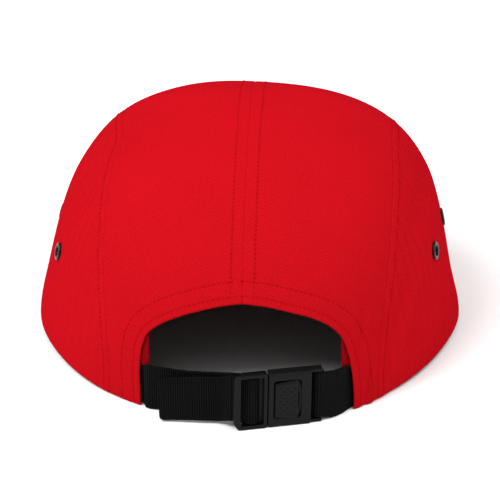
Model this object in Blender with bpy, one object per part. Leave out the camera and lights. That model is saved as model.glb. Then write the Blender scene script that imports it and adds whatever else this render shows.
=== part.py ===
"""Five panel cap with a webbing strap and a push buckle across its rear arch.

The cap stands as it would on a table: the peak points along +Y, the arch and the strap along -Y.
Each cloth panel is a sheet over the crown, thickened inwards, with a narrow gap along its seams.
"""
import math

import bmesh
import bpy
import numpy as np
from mathutils import Matrix, Vector

MM = 0.001

# Crown, measured on the outer face of the cloth
CROWN_HEIGHT = 100.0 * MM
HEM_LEFT = 92.8 * MM
HEM_RIGHT = 90.0 * MM
HEM_FRONT = 98.0 * MM
HEM_REAR = 98.0 * MM
HEM_SQUARENESS = 1.95
TOP_SQUARENESS = 2.50
LEAN_GROWTH = 1.3

# Cloth layers
CLOTH = 1.4 * MM
BACKING_WALL = 1.0 * MM
SWEATBAND_WALL = 1.0 * MM
SWEATBAND_HEIGHT = 32.0 * MM
SEAM_GAP = 0.6 * MM
LAYER_GAP = 0.4 * MM
FOLD_HEIGHT = 1.0 * MM

# Rear arch
ARCH_HALF_WIDTH = 44.0 * MM
ARCH_HEIGHT = 49.8 * MM

# Peak
PEAK_REACH = 66.0 * MM
PEAK_WALL = 3.0 * MM
PEAK_CORNER = 2.5 * MM
PEAK_SPAN = math.radians(54.0)
PEAK_DECLINE = 3.0 * MM
PEAK_CAMBER = 8.5 * MM
PEAK_EDGE = 0.9 * MM

# Eyelets
EYELET_BORE = 4.0 * MM
EYELET_BARREL = 5.2 * MM
EYELET_FLANGE = 8.0 * MM
EYELET_WALL = 0.8 * MM
FIT_GAP = 0.35 * MM

# Webbing strap
WEBBING_WIDTH = 21.5 * MM
WEBBING_WALL = 1.3 * MM
STRAP_HIDDEN = 10.0 * MM
STRAP_RISE = 1.0 * MM

# Push buckle, in its own frame: x to the right along the strap, y inwards, z up
BUCKLE_ACROSS = 16.0 * MM
BUCKLE_RISE = 13.5 * MM
BUCKLE_STAND = 0.8 * MM
BUCKLE_LEAN = 0.3
BUCKLE_FACE = 2.8 * MM
BUCKLE_BACK = 2.0 * MM
INSERT_BACK = 1.3 * MM
RAIL = 1.35 * MM
BAR_RADIUS = 1.1 * MM
FRAME_LENGTH = 13.1 * MM
FRAME_POST = 2.0 * MM
FRAME_END = 2.4 * MM
SOCKET_LENGTH = 18.0 * MM
SOCKET_BORDER = 2.2 * MM
BUCKLE_WALL = 1.7 * MM
ARM_LENGTH = 4.8 * MM
WINDOW_LENGTH = 11.9 * MM
WINDOW_HEIGHT = 17.6 * MM
TONGUE_WALL = 1.6 * MM
BUTTON_RECESS = 0.5 * MM
BUTTON_RIB = 1.3 * MM
BUCKLE_EDGE = 0.5 * MM

# How each side of the crown closes: reach at the hem, share that it leans in by, how square its shoulder is
SIDES = {
    "left": (HEM_LEFT, 0.269, 5.3),
    "right": (HEM_RIGHT, 0.205, 6.1),
    "front": (HEM_FRONT, 0.151, 2.5),
    "rear": (HEM_REAR, 0.120, 2.6),
}

# Seams as shares over the crown's plan, where the hem is at 1 from the middle: across, along
SIDE_SEAM = (
    (0.592, -0.806),
    (0.546, -0.748),
    (0.502, -0.646),
    (0.446, -0.458),
    (0.388, -0.243),
    (0.364, -0.090),
    (0.362, 0.100),
    (0.385, 0.360),
)
FRONT_SEAM_MIDDLE = (0.0, 0.305)
FRONT_SIDE_SEAM = (
    (0.385, 0.360),
    (0.520, 0.455),
    (0.670, 0.535),
    (0.800, 0.600),
)

# Arch edge from its top to the hem: share of its height, shares of its half width to the left and right
ARCH_ROWS = (
    (1.000, 0.000, 0.000),
    (0.975, 0.200, 0.240),
    (0.930, 0.395, 0.440),
    (0.870, 0.580, 0.645),
    (0.775, 0.775, 0.825),
    (0.675, 0.895, 0.925),
    (0.520, 0.955, 0.990),
    (0.360, 0.972, 1.020),
    (0.180, 0.975, 1.035),
    (0.000, 0.975, 1.035),
)

# Soft folds over the plan: across, along, half length, half width, turn in degrees, share of the fold height
FOLDS = (
    (-0.22, 0.110, 0.220, 0.045, -24.0, 1.10),
    (0.20, 0.060, 0.220, 0.045, -8.0, 1.00),
    (0.575, -0.280, 0.240, 0.034, 90.0, 1.00),
    (0.510, -0.180, 0.120, 0.030, 80.0, -0.70),
    (-0.56, 0.020, 0.130, 0.090, 60.0, 0.90),
    (-0.50, -0.420, 0.140, 0.040, 75.0, -0.60),
    (0.985, 0.000, 0.500, 0.060, 90.0, 1.20),
    (-0.985, 0.000, 0.500, 0.060, 90.0, 1.00),
    (0.483, -0.876, 0.100, 0.100, 0.0, 1.60),
    (-0.450, -0.893, 0.100, 0.100, 0.0, -0.60),
    (-0.220, 0.300, 0.200, 0.200, 0.0, 0.90),
    (0.260, 0.300, 0.180, 0.180, 0.0, -0.50),
)

# Eyelets: name, across and along over the plan
EYELETS = (
    ("eyelet_left_rear", -0.697, -0.235),
    ("eyelet_left_front", -0.744, 0.100),
    ("eyelet_right_rear", 0.656, -0.243),
    ("eyelet_right_front", 0.709, 0.034),
)

# Free webbing beside the buckle: share of the arch half width to the right, then as shares of the
# webbing's wall its rise, how far its lower edge and how far its upper edge stand outside the crown
BASE_RUN = (
    (-0.898, 0.77, -0.62, 0.46),
    (-0.795, 0.77, -1.15, 1.23),
    (-0.670, 0.92, -1.54, 0.46),
    (-0.552, 1.08, -1.46, -0.38),
    (-0.380, 1.46, -0.77, 0.31),
    (-0.195, 1.77, -0.46, 1.08),
)
TAIL_RUN = (
    (-0.198, 1.54, 1.31, 3.62),
    (-0.386, 1.31, 1.92, 4.31),
    (-0.561, 1.08, 3.08, 5.77),
    (-0.668, 0.92, 4.15, 7.31),
    (-0.766, 0.77, 5.46, 9.23),
)
RIGHT_RUN = (
    (0.943, 0.62, 1.31, 1.85),
    (0.875, 0.77, 2.31, 2.46),
)

# Panel meshes
ACROSS_STEPS = 7
UPPER_STEPS = 9
LOWER_STEPS = 10
SIDE_STEPS = 9
SIDE_LENGTH_STEPS = 15
FRONT_STEPS = 13
BAND_STEPS = 56
PEAK_STEPS = 27
TURN_STEPS = 20


def remove_scene_objects():
    for item in list(bpy.data.objects):
        bpy.data.objects.remove(item, do_unlink=True)


def material(name, colour, roughness, metallic=0.0):
    result = bpy.data.materials.new(name)
    result.use_nodes = True
    shader = result.node_tree.nodes["Principled BSDF"]
    shader.inputs["Base Color"].default_value = (*colour, 1.0)
    shader.inputs["Roughness"].default_value = roughness
    shader.inputs["Metallic"].default_value = metallic
    return result


# Crown surface

def side_reach(side, level):
    """Reach from the middle at a level: the hem reach, leaned in, times the rounded shoulder."""
    reach, lean, shoulder = SIDES[side]
    level = np.clip(level, 0.0, 1.0)
    return reach * (1.0 - lean * level ** LEAN_GROWTH) * np.sqrt(np.maximum(1.0 - level ** shoulder, 1e-12))


def oval(right, front, level):
    """Point of the level oval in a unit direction, where |x/X|^p + |y/Y|^p = 1."""
    half_x = np.where(right < 0.0, side_reach("left", level), side_reach("right", level))
    half_y = np.where(front < 0.0, side_reach("rear", level), side_reach("front", level))
    power = HEM_SQUARENESS + (TOP_SQUARENESS - HEM_SQUARENESS) * np.clip(level, 0.0, 1.0)
    reach = ((np.abs(right) / half_x) ** power + (np.abs(front) / half_y) ** power) ** (-1.0 / power)
    return np.stack([reach * right, reach * front, CROWN_HEIGHT * level], axis=-1)


def crown_base(plan):
    """Crown without folds: the plan's radius r gives the level cos(r pi / 2)."""
    plan = np.asarray(plan, dtype=float)
    radius = np.maximum(np.hypot(plan[..., 0], plan[..., 1]), 1e-9)
    level = np.cos(radius * math.pi / 2.0)
    return oval(plan[..., 0] / radius, plan[..., 1] / radius, level)


def facing(surface, plan, step=2e-3):
    """Unit normals of a surface over the plan, from central differences."""
    across = surface(plan + (step, 0.0)) - surface(plan - (step, 0.0))
    along = surface(plan + (0.0, step)) - surface(plan - (0.0, step))
    normal = np.cross(across, along)
    return normal / np.linalg.norm(normal, axis=-1, keepdims=True)


def fold_height(plan):
    """Sum of soft ridges and dents, each a Gaussian hill stretched along its own line."""
    height = np.zeros(plan.shape[:-1])
    for across, along, length, width, turn, share in FOLDS:
        angle = math.radians(turn)
        shift = plan - (across, along)
        down_line = shift[..., 0] * math.cos(angle) + shift[..., 1] * math.sin(angle)
        off_line = shift[..., 1] * math.cos(angle) - shift[..., 0] * math.sin(angle)
        height += share * np.exp(-0.5 * ((down_line / length) ** 2 + (off_line / width) ** 2))
    return height * FOLD_HEIGHT


def crown_folded(plan):
    return crown_base(plan) + facing(crown_base, plan) * fold_height(plan)[..., None]


def crown_point(plan, depth=0.0):
    """Point at a depth under the folded outer face; a negative depth lies outside it."""
    plan = np.asarray(plan, dtype=float)
    depth = np.broadcast_to(np.asarray(depth, dtype=float), plan.shape[:-1])
    return crown_folded(plan) - facing(crown_folded, plan) * depth[..., None]


def rear_plan(x, z):
    """Plan place of the rear point at a given distance across and height above the hem."""
    level = np.asarray(z, dtype=float) / CROWN_HEIGHT
    x = np.asarray(x, dtype=float)
    half_x = np.where(x < 0.0, side_reach("left", level), side_reach("right", level))
    power = HEM_SQUARENESS + (TOP_SQUARENESS - HEM_SQUARENESS) * np.clip(level, 0.0, 1.0)
    y = -side_reach("rear", level) * (1.0 - (np.abs(x) / half_x) ** power) ** (1.0 / power)
    radius = np.arccos(level) * 2.0 / math.pi
    return np.stack([x, y], axis=-1) * (radius / np.hypot(x, y))[..., None]


def hem_angle(plan):
    """Direction of a plan point, turned from the front towards the right."""
    return math.atan2(plan[0], plan[1])


def hem_line(start, end, steps):
    angles = np.linspace(start, end, steps)
    return np.stack([np.sin(angles), np.cos(angles)], axis=-1)


def smooth_line(points, steps):
    """Even points along the cubic curve through the given points."""
    points = np.asarray(points, dtype=float)
    lengths = np.linalg.norm(np.diff(points, axis=0), axis=1)
    stops = np.concatenate([[0.0], np.cumsum(lengths)])
    slopes = np.gradient(points, stops, axis=0)
    fine = np.linspace(0.0, stops[-1], 40 * len(points))
    index = np.clip(np.searchsorted(stops, fine, side="right") - 1, 0, len(lengths) - 1)
    span = lengths[index][:, None]
    share = ((fine - stops[index]) / lengths[index])[:, None]
    curve = (
        (2.0 * share ** 3 - 3.0 * share ** 2 + 1.0) * points[index]
        + (share ** 3 - 2.0 * share ** 2 + share) * span * slopes[index]
        + (3.0 * share ** 2 - 2.0 * share ** 3) * points[index + 1]
        + (share ** 3 - share ** 2) * span * slopes[index + 1]
    )
    walked = np.concatenate([[0.0], np.cumsum(np.linalg.norm(np.diff(curve, axis=0), axis=1))])
    even = np.linspace(0.0, walked[-1], steps)
    return np.stack([np.interp(even, walked, curve[:, k]) for k in range(points.shape[1])], axis=-1)


def filled(bottom, top, left, right):
    """Grid between four edge lines that meet at their ends (a Coons patch)."""
    u = np.linspace(0.0, 1.0, len(bottom))[None, :, None]
    v = np.linspace(0.0, 1.0, len(left))[:, None, None]
    ruled_v = (1.0 - v) * bottom[None] + v * top[None]
    ruled_u = (1.0 - u) * left[:, None] + u * right[:, None]
    corners = (
        (1.0 - u) * (1.0 - v) * bottom[0]
        + u * (1.0 - v) * bottom[-1]
        + (1.0 - u) * v * top[0]
        + u * v * top[-1]
    )
    return ruled_v + ruled_u - corners


def mirrored(line, side):
    """The line on the right, or its mirror image on the left for a side of -1."""
    return np.asarray(line, dtype=float) * (side, 1.0)


def inset(grid, edges, distance):
    """Move the named edges of a plan grid inwards by a real distance over the crown."""
    moved = grid.copy()
    ends = {"first": (0, 1, 0), "last": (-1, -2, 0), "left": (0, 1, 1), "right": (-1, -2, 1)}
    for edge in edges:
        outer, inner, axis = ends[edge]
        rim = np.take(moved, outer, axis=axis)
        step = np.take(moved, inner, axis=axis) - rim
        length = np.linalg.norm(crown_base(rim + step) - crown_base(rim), axis=-1, keepdims=True)
        rim = rim + step * (distance / length)
        if axis == 0:
            moved[outer] = rim
        else:
            moved[:, outer] = rim
    return moved


# Seam lines over the plan

def side_seam(side, steps):
    return mirrored(smooth_line(SIDE_SEAM, steps), side)


def front_side_seam(side, steps):
    return mirrored(smooth_line(FRONT_SIDE_SEAM, steps), side)


def front_seam(steps):
    """Arc across the crown's top, from the left side seam's end to the right one's."""
    end_across, end_along = SIDE_SEAM[-1]
    share = np.linspace(-1.0, 1.0, 2 * steps + 1)
    along = FRONT_SEAM_MIDDLE[1] + (end_along - FRONT_SEAM_MIDDLE[1]) * share ** 2
    return smooth_line(np.stack([end_across * share, along], axis=-1), steps)


def arch_line(side, steps):
    rows = np.array(ARCH_ROWS)
    across = rows[:, 2] if side > 0 else -rows[:, 1]
    shares = smooth_line(np.stack([across, rows[:, 0]], axis=-1), steps)
    return rear_plan(shares[:, 0] * ARCH_HALF_WIDTH, shares[:, 1] * ARCH_HEIGHT)


def arch_foot(side):
    """Place across where the arch edge meets the hem, to the left or right of the middle."""
    share = ARCH_ROWS[-1][2] if side > 0 else ARCH_ROWS[-1][1]
    return side * share * ARCH_HALF_WIDTH


# Meshes

def new_object(name, mesh, look):
    item = bpy.data.objects.new(name, mesh)
    item.data.materials.append(look)
    bpy.context.collection.objects.link(item)
    return item


def grid_mesh(name, grid, outward, sharp=35.0):
    """Quads over a grid of points, facing the given way."""
    rows, columns = grid.shape[:2]
    order = np.arange(rows * columns).reshape(rows, columns)
    quads = np.stack([order[:-1, :-1], order[:-1, 1:], order[1:, 1:], order[1:, :-1]], axis=-1).reshape(-1, 4)
    points = grid.reshape(-1, 3)
    corner = points[quads]
    normals = np.cross(corner[:, 2] - corner[:, 0], corner[:, 3] - corner[:, 1])
    if np.sum(normals * outward(corner.mean(axis=1))) < 0.0:
        quads = quads[:, ::-1]
    mesh = bpy.data.meshes.new(name)
    mesh.from_pydata(points.tolist(), [], quads.tolist())
    mesh.shade_smooth()
    mesh.set_sharp_from_angle(angle=math.radians(sharp))
    return mesh


def from_middle(points):
    """Outward over the crown: away from a point inside it."""
    return points - (0.0, 0.0, 0.3 * CROWN_HEIGHT)


def upward(points):
    return np.broadcast_to(np.array((0.0, 0.0, 1.0)), points.shape)


def thicken(item, wall, offset=-1.0):
    """Give a sheet its wall, inwards from its outer face unless the offset says otherwise."""
    modifier = item.modifiers.new("wall", "SOLIDIFY")
    modifier.thickness = wall
    modifier.offset = offset
    modifier.use_rim = True
    return item


def soften(item, width, segments=1):
    modifier = item.modifiers.new("edge", "BEVEL")
    modifier.width = width
    modifier.segments = segments
    modifier.limit_method = "ANGLE"
    modifier.angle_limit = math.radians(50.0)
    return item


def combine(item, other, operation):
    """Cut the other object from this one or weld it on."""
    modifier = item.modifiers.new(other.name, "BOOLEAN")
    modifier.operation = operation
    modifier.object = other
    modifier.solver = "EXACT"
    other.hide_render = True
    other.display_type = "WIRE"
    return item


def box(name, low, high, look, edge=0.0):
    """Block between two corners, with softened edges where an edge width is given."""
    low = Vector(low)
    high = Vector(high)
    mesh = bpy.data.meshes.new(name)
    body = bmesh.new()
    bmesh.ops.create_cube(body, size=1.0)
    bmesh.ops.scale(body, vec=high - low, verts=body.verts)
    bmesh.ops.translate(body, vec=(high + low) / 2.0, verts=body.verts)
    if edge:
        bmesh.ops.bevel(body, geom=body.edges[:], offset=edge, segments=1, affect="EDGES")
    body.to_mesh(mesh)
    body.free()
    return new_object(name, mesh, look)


def rod(name, radius, low, high, look, steps=TURN_STEPS):
    """Upright round rod from one level to another at the origin of its own frame."""
    mesh = bpy.data.meshes.new(name)
    body = bmesh.new()
    bmesh.ops.create_cone(body, cap_ends=True, segments=steps, radius1=radius, radius2=radius, depth=high - low)
    bmesh.ops.translate(body, vec=(0.0, 0.0, (high + low) / 2.0), verts=body.verts)
    body.to_mesh(mesh)
    body.free()
    mesh.shade_smooth()
    mesh.set_sharp_from_angle(angle=math.radians(40.0))
    return new_object(name, mesh, look)


# Crown panels

def back_panel(name, side, look):
    """Strip from the front panel over the top to the rear hem, cut away by the arch."""
    seam = side_seam(side, 61)
    split = 32
    outer_lower = smooth_line(seam[split::-1], LOWER_STEPS)
    outer_upper = smooth_line(seam[split:], UPPER_STEPS)
    arch = arch_line(side, LOWER_STEPS)
    ridge = front_seam(2 * ACROSS_STEPS - 1)
    top = ridge[ACROSS_STEPS - 1:] if side > 0 else ridge[ACROSS_STEPS - 1::-1]
    centre = np.linspace(arch[0], np.asarray(FRONT_SEAM_MIDDLE), UPPER_STEPS)
    across = np.linspace(arch[0], seam[split], ACROSS_STEPS)
    hem = hem_line(hem_angle(arch[-1]), hem_angle(seam[0]), ACROSS_STEPS)
    lower = filled(across, hem, arch, outer_lower)
    upper = filled(across, top, centre, outer_upper)
    grid = np.concatenate([lower[::-1], upper[1:]])
    grid = inset(grid, ("last", "right"), SEAM_GAP / 2.0)
    grid[LOWER_STEPS - 1:] = inset(grid[LOWER_STEPS - 1:], ("left",), SEAM_GAP / 2.0)
    return thicken(new_object(name, grid_mesh(name, crown_point(grid), from_middle), look), CLOTH)


def side_panel_grid(side):
    """Plan grid of a side panel, from its rear seam corner round to the front panel."""
    seam = side_seam(side, 61)
    bend = 22
    rear = smooth_line(seam[:bend + 1], SIDE_STEPS)
    top = smooth_line(seam[bend:], SIDE_LENGTH_STEPS)
    front = front_side_seam(side, SIDE_STEPS)[::-1]
    start = hem_angle(seam[0])
    end = hem_angle(front[0])
    hem = hem_line(start, end, SIDE_LENGTH_STEPS)
    return inset(filled(hem, top, rear, front), ("last", "left", "right"), SEAM_GAP / 2.0)


def side_panel(name, side, look):
    """Cloth side between the hem and the side seam, with its eyelet holes."""
    item = new_object(name, grid_mesh(name, crown_point(side_panel_grid(side)), from_middle), look)
    thicken(item, CLOTH)
    for eyelet_name, across, along in EYELETS:
        if across * side > 0.0:
            reach = EYELET_BARREL / 2.0 + FIT_GAP
            cutter = rod("hole_" + eyelet_name, reach, -4.0 * CLOTH, 3.0 * CLOTH, look)
            cutter.matrix_world = crown_frame(across, along)
            combine(item, cutter, "DIFFERENCE")
    return item


def crown_frame(across, along):
    """Frame on the crown's face with its z axis facing out."""
    plan = np.array((across, along))
    normal = Vector(facing(crown_folded, plan))
    turn = normal.to_track_quat("Z", "Y").to_matrix().to_4x4()
    return Matrix.Translation(Vector(crown_point(plan))) @ turn


def front_grid(steps, rows):
    left = front_side_seam(-1.0, rows)[::-1]
    right = front_side_seam(1.0, rows)[::-1]
    hem = hem_line(hem_angle(left[0]), hem_angle(right[0]), steps)
    return filled(hem, front_seam(steps), left, right)


def front_panel(look):
    grid = inset(front_grid(FRONT_STEPS, SIDE_STEPS), ("last", "left", "right"), SEAM_GAP / 2.0)
    mesh = grid_mesh("front_panel", crown_point(grid), from_middle)
    return thicken(new_object("front_panel", mesh, look), CLOTH)


def front_backing(look):
    """Thin stiff layer behind the front panel, one row of its grid short of the seams and of the hem."""
    grid = front_grid(FRONT_STEPS, SIDE_STEPS)[1:-1, 1:-1]
    mesh = grid_mesh("front_backing", crown_point(grid, CLOTH + LAYER_GAP), from_middle)
    return thicken(new_object("front_backing", mesh, look), BACKING_WALL)


def band_depth():
    """Depth of the sweatband's outer face, clear of the webbing and of the backing."""
    return CLOTH + max(WEBBING_WALL, BACKING_WALL) + 3.0 * LAYER_GAP


def sweatband(look):
    """Band inside the hem, from one end of the arch round the front to the other."""
    left = hem_angle(rear_plan(arch_foot(-1.0) - 2.0 * CLOTH, 0.0))
    right = hem_angle(rear_plan(arch_foot(1.0) + 2.0 * CLOTH, 0.0))
    angles = np.linspace(left, right, BAND_STEPS)
    levels = np.linspace(SEAM_GAP, SWEATBAND_HEIGHT, 4) / CROWN_HEIGHT
    radius = np.arccos(levels) * 2.0 / math.pi
    grid = radius[:, None, None] * np.stack([np.sin(angles), np.cos(angles)], axis=-1)[None]
    mesh = grid_mesh("sweatband", crown_point(grid, band_depth()), from_middle)
    return thicken(new_object("sweatband", mesh, look), SWEATBAND_WALL)


# Peak

def peak(look):
    """Curved visor from the hem: it dips forwards and more so towards its sides."""
    angles = np.linspace(-PEAK_SPAN, PEAK_SPAN, PEAK_STEPS)
    right = np.sin(angles)
    front = np.cos(angles)
    inner = oval(right, front, np.zeros_like(angles))
    inner += np.stack([right, front, np.zeros_like(angles)], axis=-1) * FIT_GAP
    share = np.abs(angles) / PEAK_SPAN
    reach = PEAK_CORNER + (PEAK_REACH - PEAK_CORNER) * np.sqrt(1.0 - share ** 2.6)
    ahead = np.stack([0.5 * right, np.ones_like(right), np.zeros_like(right)], axis=-1)
    ahead /= np.linalg.norm(ahead, axis=-1, keepdims=True)
    out = np.linspace(0.0, 1.0, 7)[:, None]
    grid = inner[None] + ahead[None] * (reach * out)[..., None]
    widest = np.abs(grid[..., 0]).max()
    far = (reach * out) / PEAK_REACH
    grid[..., 2] -= PEAK_DECLINE * far + PEAK_CAMBER * (grid[..., 0] / widest) ** 2 * far ** 0.8
    item = new_object("peak", grid_mesh("peak", grid, upward), look)
    thicken(item, PEAK_WALL, 0.0)
    return soften(item, PEAK_EDGE)


# Eyelets

def eyelet(name, across, along, look):
    """Turned ring: a domed flange outside, a barrel through the cloth and a rolled lip inside."""
    bore = EYELET_BORE / 2.0
    barrel = EYELET_BARREL / 2.0
    flange = EYELET_FLANGE / 2.0
    lip = (barrel + flange) / 2.0
    inside = -CLOTH - FIT_GAP
    profile = (
        (bore, FIT_GAP + 0.75 * EYELET_WALL),
        (barrel, FIT_GAP + EYELET_WALL),
        (0.9 * flange, FIT_GAP + 0.75 * EYELET_WALL),
        (flange, FIT_GAP + 0.2 * EYELET_WALL),
        (flange, FIT_GAP),
        (barrel, FIT_GAP),
        (barrel, inside),
        (lip, inside),
        (lip, inside - 0.5 * EYELET_WALL),
        (bore, inside - 0.6 * EYELET_WALL),
    )
    angles = np.linspace(0.0, 2.0 * math.pi, TURN_STEPS, endpoint=False)
    rings = np.array(profile)
    points = np.stack([
        rings[:, None, 0] * np.cos(angles),
        rings[:, None, 0] * np.sin(angles),
        np.broadcast_to(rings[:, None, 1], (len(rings), TURN_STEPS)),
    ], axis=-1).reshape(-1, 3)
    order = np.arange(len(points)).reshape(len(rings), TURN_STEPS)
    along_ring = np.roll(order, -1, axis=1)
    down = np.roll(order, -1, axis=0)
    quads = np.stack([order, down, np.roll(down, -1, axis=1), along_ring], axis=-1).reshape(-1, 4)
    mesh = bpy.data.meshes.new(name)
    mesh.from_pydata(points.tolist(), [], quads.tolist())
    mesh.shade_smooth()
    mesh.set_sharp_from_angle(angle=math.radians(50.0))
    item = new_object(name, mesh, look)
    item.matrix_world = crown_frame(across, along)
    return item


# Strap and buckle

def buckle_frame():
    """Frame of the buckle on the crown's rear face: x to the right, y inwards, z up."""
    place = rear_plan(BUCKLE_ACROSS, BUCKLE_RISE)
    inward = Vector(-facing(crown_folded, place))
    inward.z *= BUCKLE_LEAN
    inward.normalize()
    up = Vector((0.0, 0.0, 1.0))
    right = inward.cross(up).normalized()
    up = right.cross(inward).normalized()
    turn = Matrix((right, inward, up)).transposed().to_4x4()
    return Matrix.Translation(Vector(crown_point(place, -BUCKLE_STAND))) @ turn


def hidden_station(x):
    """Lower and upper edge of the webbing between the panel and the sweatband."""
    edges = rear_plan(np.array([x, x]), np.array([STRAP_RISE, STRAP_RISE + WEBBING_WIDTH]))
    return crown_point(edges, CLOTH + LAYER_GAP + WEBBING_WALL / 2.0)


def free_station(share, rise, low, high):
    """Lower and upper edge of the free webbing, each at its own distance outside the crown."""
    x = share * ARCH_HALF_WIDTH
    foot = rise * WEBBING_WALL
    edges = crown_base(rear_plan(np.array([x, x]), np.array([foot, foot + WEBBING_WIDTH])))
    edges[:, 1] -= np.array([low, high]) * WEBBING_WALL
    lean = edges[1, 1] - edges[0, 1]
    edges[1, 2] = edges[0, 2] + math.sqrt(WEBBING_WIDTH ** 2 - lean ** 2)
    return edges


def buckle_station(x, y):
    """Lower and upper edge of the webbing at a place in the buckle's frame."""
    frame = buckle_frame()
    half = WEBBING_WIDTH / 2.0
    return np.array([frame @ Vector((x, y, -half)), frame @ Vector((x, y, half))])


def round_bar(centre_x, centre_y, start, end, steps=8):
    """Stations of the webbing round a bar, at the radius of the webbing's middle."""
    reach = BAR_RADIUS + FIT_GAP + WEBBING_WALL / 2.0
    angles = np.radians(np.linspace(start, end, steps))
    return [buckle_station(centre_x + reach * math.cos(a), centre_y + reach * math.sin(a)) for a in angles]


def frame_left():
    return -(FRAME_LENGTH + SOCKET_LENGTH + ARM_LENGTH + LAYER_GAP) / 2.0


def socket_left():
    return frame_left() + FRAME_LENGTH + LAYER_GAP


def left_bar():
    """Place of the insert's bar: behind the window of its frame."""
    return frame_left() + 0.51 * FRAME_LENGTH, 0.1 * INSERT_BACK


def end_bar():
    """Place of the socket's end bar, between its arms."""
    return socket_left() + SOCKET_LENGTH + ARM_LENGTH - BAR_RADIUS - 0.2 * RAIL, 0.4 * BUCKLE_BACK


def ribbon(name, stations, look):
    grid = np.array(stations).transpose(1, 0, 2)
    item = new_object(name, grid_mesh(name, grid, lambda points: points * (0.0, 1.0, 0.0)), look)
    return thicken(item, WEBBING_WALL, 0.0)


def strap_left(look):
    """Webbing from the left hem to the bar, round it and back outside as the free tail."""
    bar_x, bar_y = left_bar()
    post = frame_left() + FRAME_POST / 2.0
    outer = -(BUCKLE_FACE - BUCKLE_WALL) + FIT_GAP + WEBBING_WALL / 2.0
    behind = outer + 2.0 * WEBBING_WALL
    foot = arch_foot(-1.0)
    stations = [
        hidden_station(foot - STRAP_HIDDEN),
        hidden_station(foot - STRAP_HIDDEN / 2.0),
        hidden_station(foot + CLOTH),
    ]
    stations += [free_station(*row) for row in BASE_RUN]
    stations.append(buckle_station(post - FRAME_POST, behind))
    stations.append(buckle_station(post + FRAME_POST / 2.0, behind))
    stations += round_bar(bar_x, bar_y, 90.0, -90.0)
    stations.append(buckle_station(post + FRAME_POST / 2.0, outer))
    stations.append(buckle_station(post - FRAME_POST, outer))
    stations += [free_station(*row) for row in TAIL_RUN]
    return ribbon("strap_left", stations, look)


def strap_right(look):
    """Short webbing from the right hem round the socket's end bar, turned back inside."""
    bar_x, bar_y = end_bar()
    reach = BAR_RADIUS + FIT_GAP + WEBBING_WALL / 2.0
    foot = arch_foot(1.0)
    stations = [
        hidden_station(foot + STRAP_HIDDEN),
        hidden_station(foot + STRAP_HIDDEN / 2.0),
        hidden_station(foot - CLOTH),
    ]
    stations += [free_station(*row) for row in RIGHT_RUN]
    stations += round_bar(bar_x, bar_y, -75.0, -270.0, 9)
    stations.append(buckle_station(bar_x + 2.2 * reach, bar_y + 1.75 * reach))
    stations.append(buckle_station(bar_x + 3.0 * reach, bar_y + 2.6 * reach))
    return ribbon("strap_right", stations, look)


def slot_half():
    return WEBBING_WIDTH / 2.0 + LAYER_GAP


def buckle_insert(look):
    """Left half: a frame round the webbing's bar, with a tongue that carries the push button."""
    left = frame_left()
    right = left + FRAME_LENGTH
    half = slot_half() + RAIL
    bar_x, bar_y = left_bar()
    frame = buckle_frame()
    item = box("buckle_insert", (left, -BUCKLE_FACE, -half), (right, INSERT_BACK, half), look, BUCKLE_EDGE)
    window = box("insert_window", (left + FRAME_POST, -2.0 * BUCKLE_FACE, -slot_half()),
                 (right - FRAME_END, 2.0 * BUCKLE_BACK, slot_half()), look)
    channel = box("insert_channel", (left - RAIL, -(BUCKLE_FACE - BUCKLE_WALL), -slot_half()),
                  (left + 2.0 * FRAME_POST, 2.0 * BUCKLE_BACK, slot_half()), look)
    bar = rod("insert_bar", BAR_RADIUS, -slot_half() - RAIL / 2.0, slot_half() + RAIL / 2.0, look, 12)
    bar.location = (bar_x, bar_y, 0.0)
    tongue_half = slot_half() - RAIL / 2.0
    start = socket_left() + SOCKET_BORDER
    tip = start + WINDOW_LENGTH
    tongue = box("insert_tongue", (right - FRAME_END / 2.0, -TONGUE_WALL / 2.0, -tongue_half),
                 (tip + FIT_GAP, TONGUE_WALL / 2.0, tongue_half), look)
    button = box("insert_button", (start + FIT_GAP, -BUCKLE_FACE + BUTTON_RECESS, -WINDOW_HEIGHT / 2.0 + FIT_GAP),
                 (tip - FIT_GAP, 0.0, WINDOW_HEIGHT / 2.0 - FIT_GAP), look)
    rib = box("insert_rib", (tip - FIT_GAP - BUTTON_RIB, -BUCKLE_FACE, -WINDOW_HEIGHT / 2.0 + 2.0 * FIT_GAP),
              (tip - 2.0 * FIT_GAP, -BUCKLE_FACE / 2.0, WINDOW_HEIGHT / 2.0 - 2.0 * FIT_GAP), look)
    for other, operation in ((window, "DIFFERENCE"), (channel, "DIFFERENCE"), (bar, "UNION"),
                             (tongue, "UNION"), (button, "UNION"), (rib, "UNION")):
        other.matrix_world = frame @ Matrix.Translation(other.location)
        combine(item, other, operation)
    item.matrix_world = frame
    return item


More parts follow.
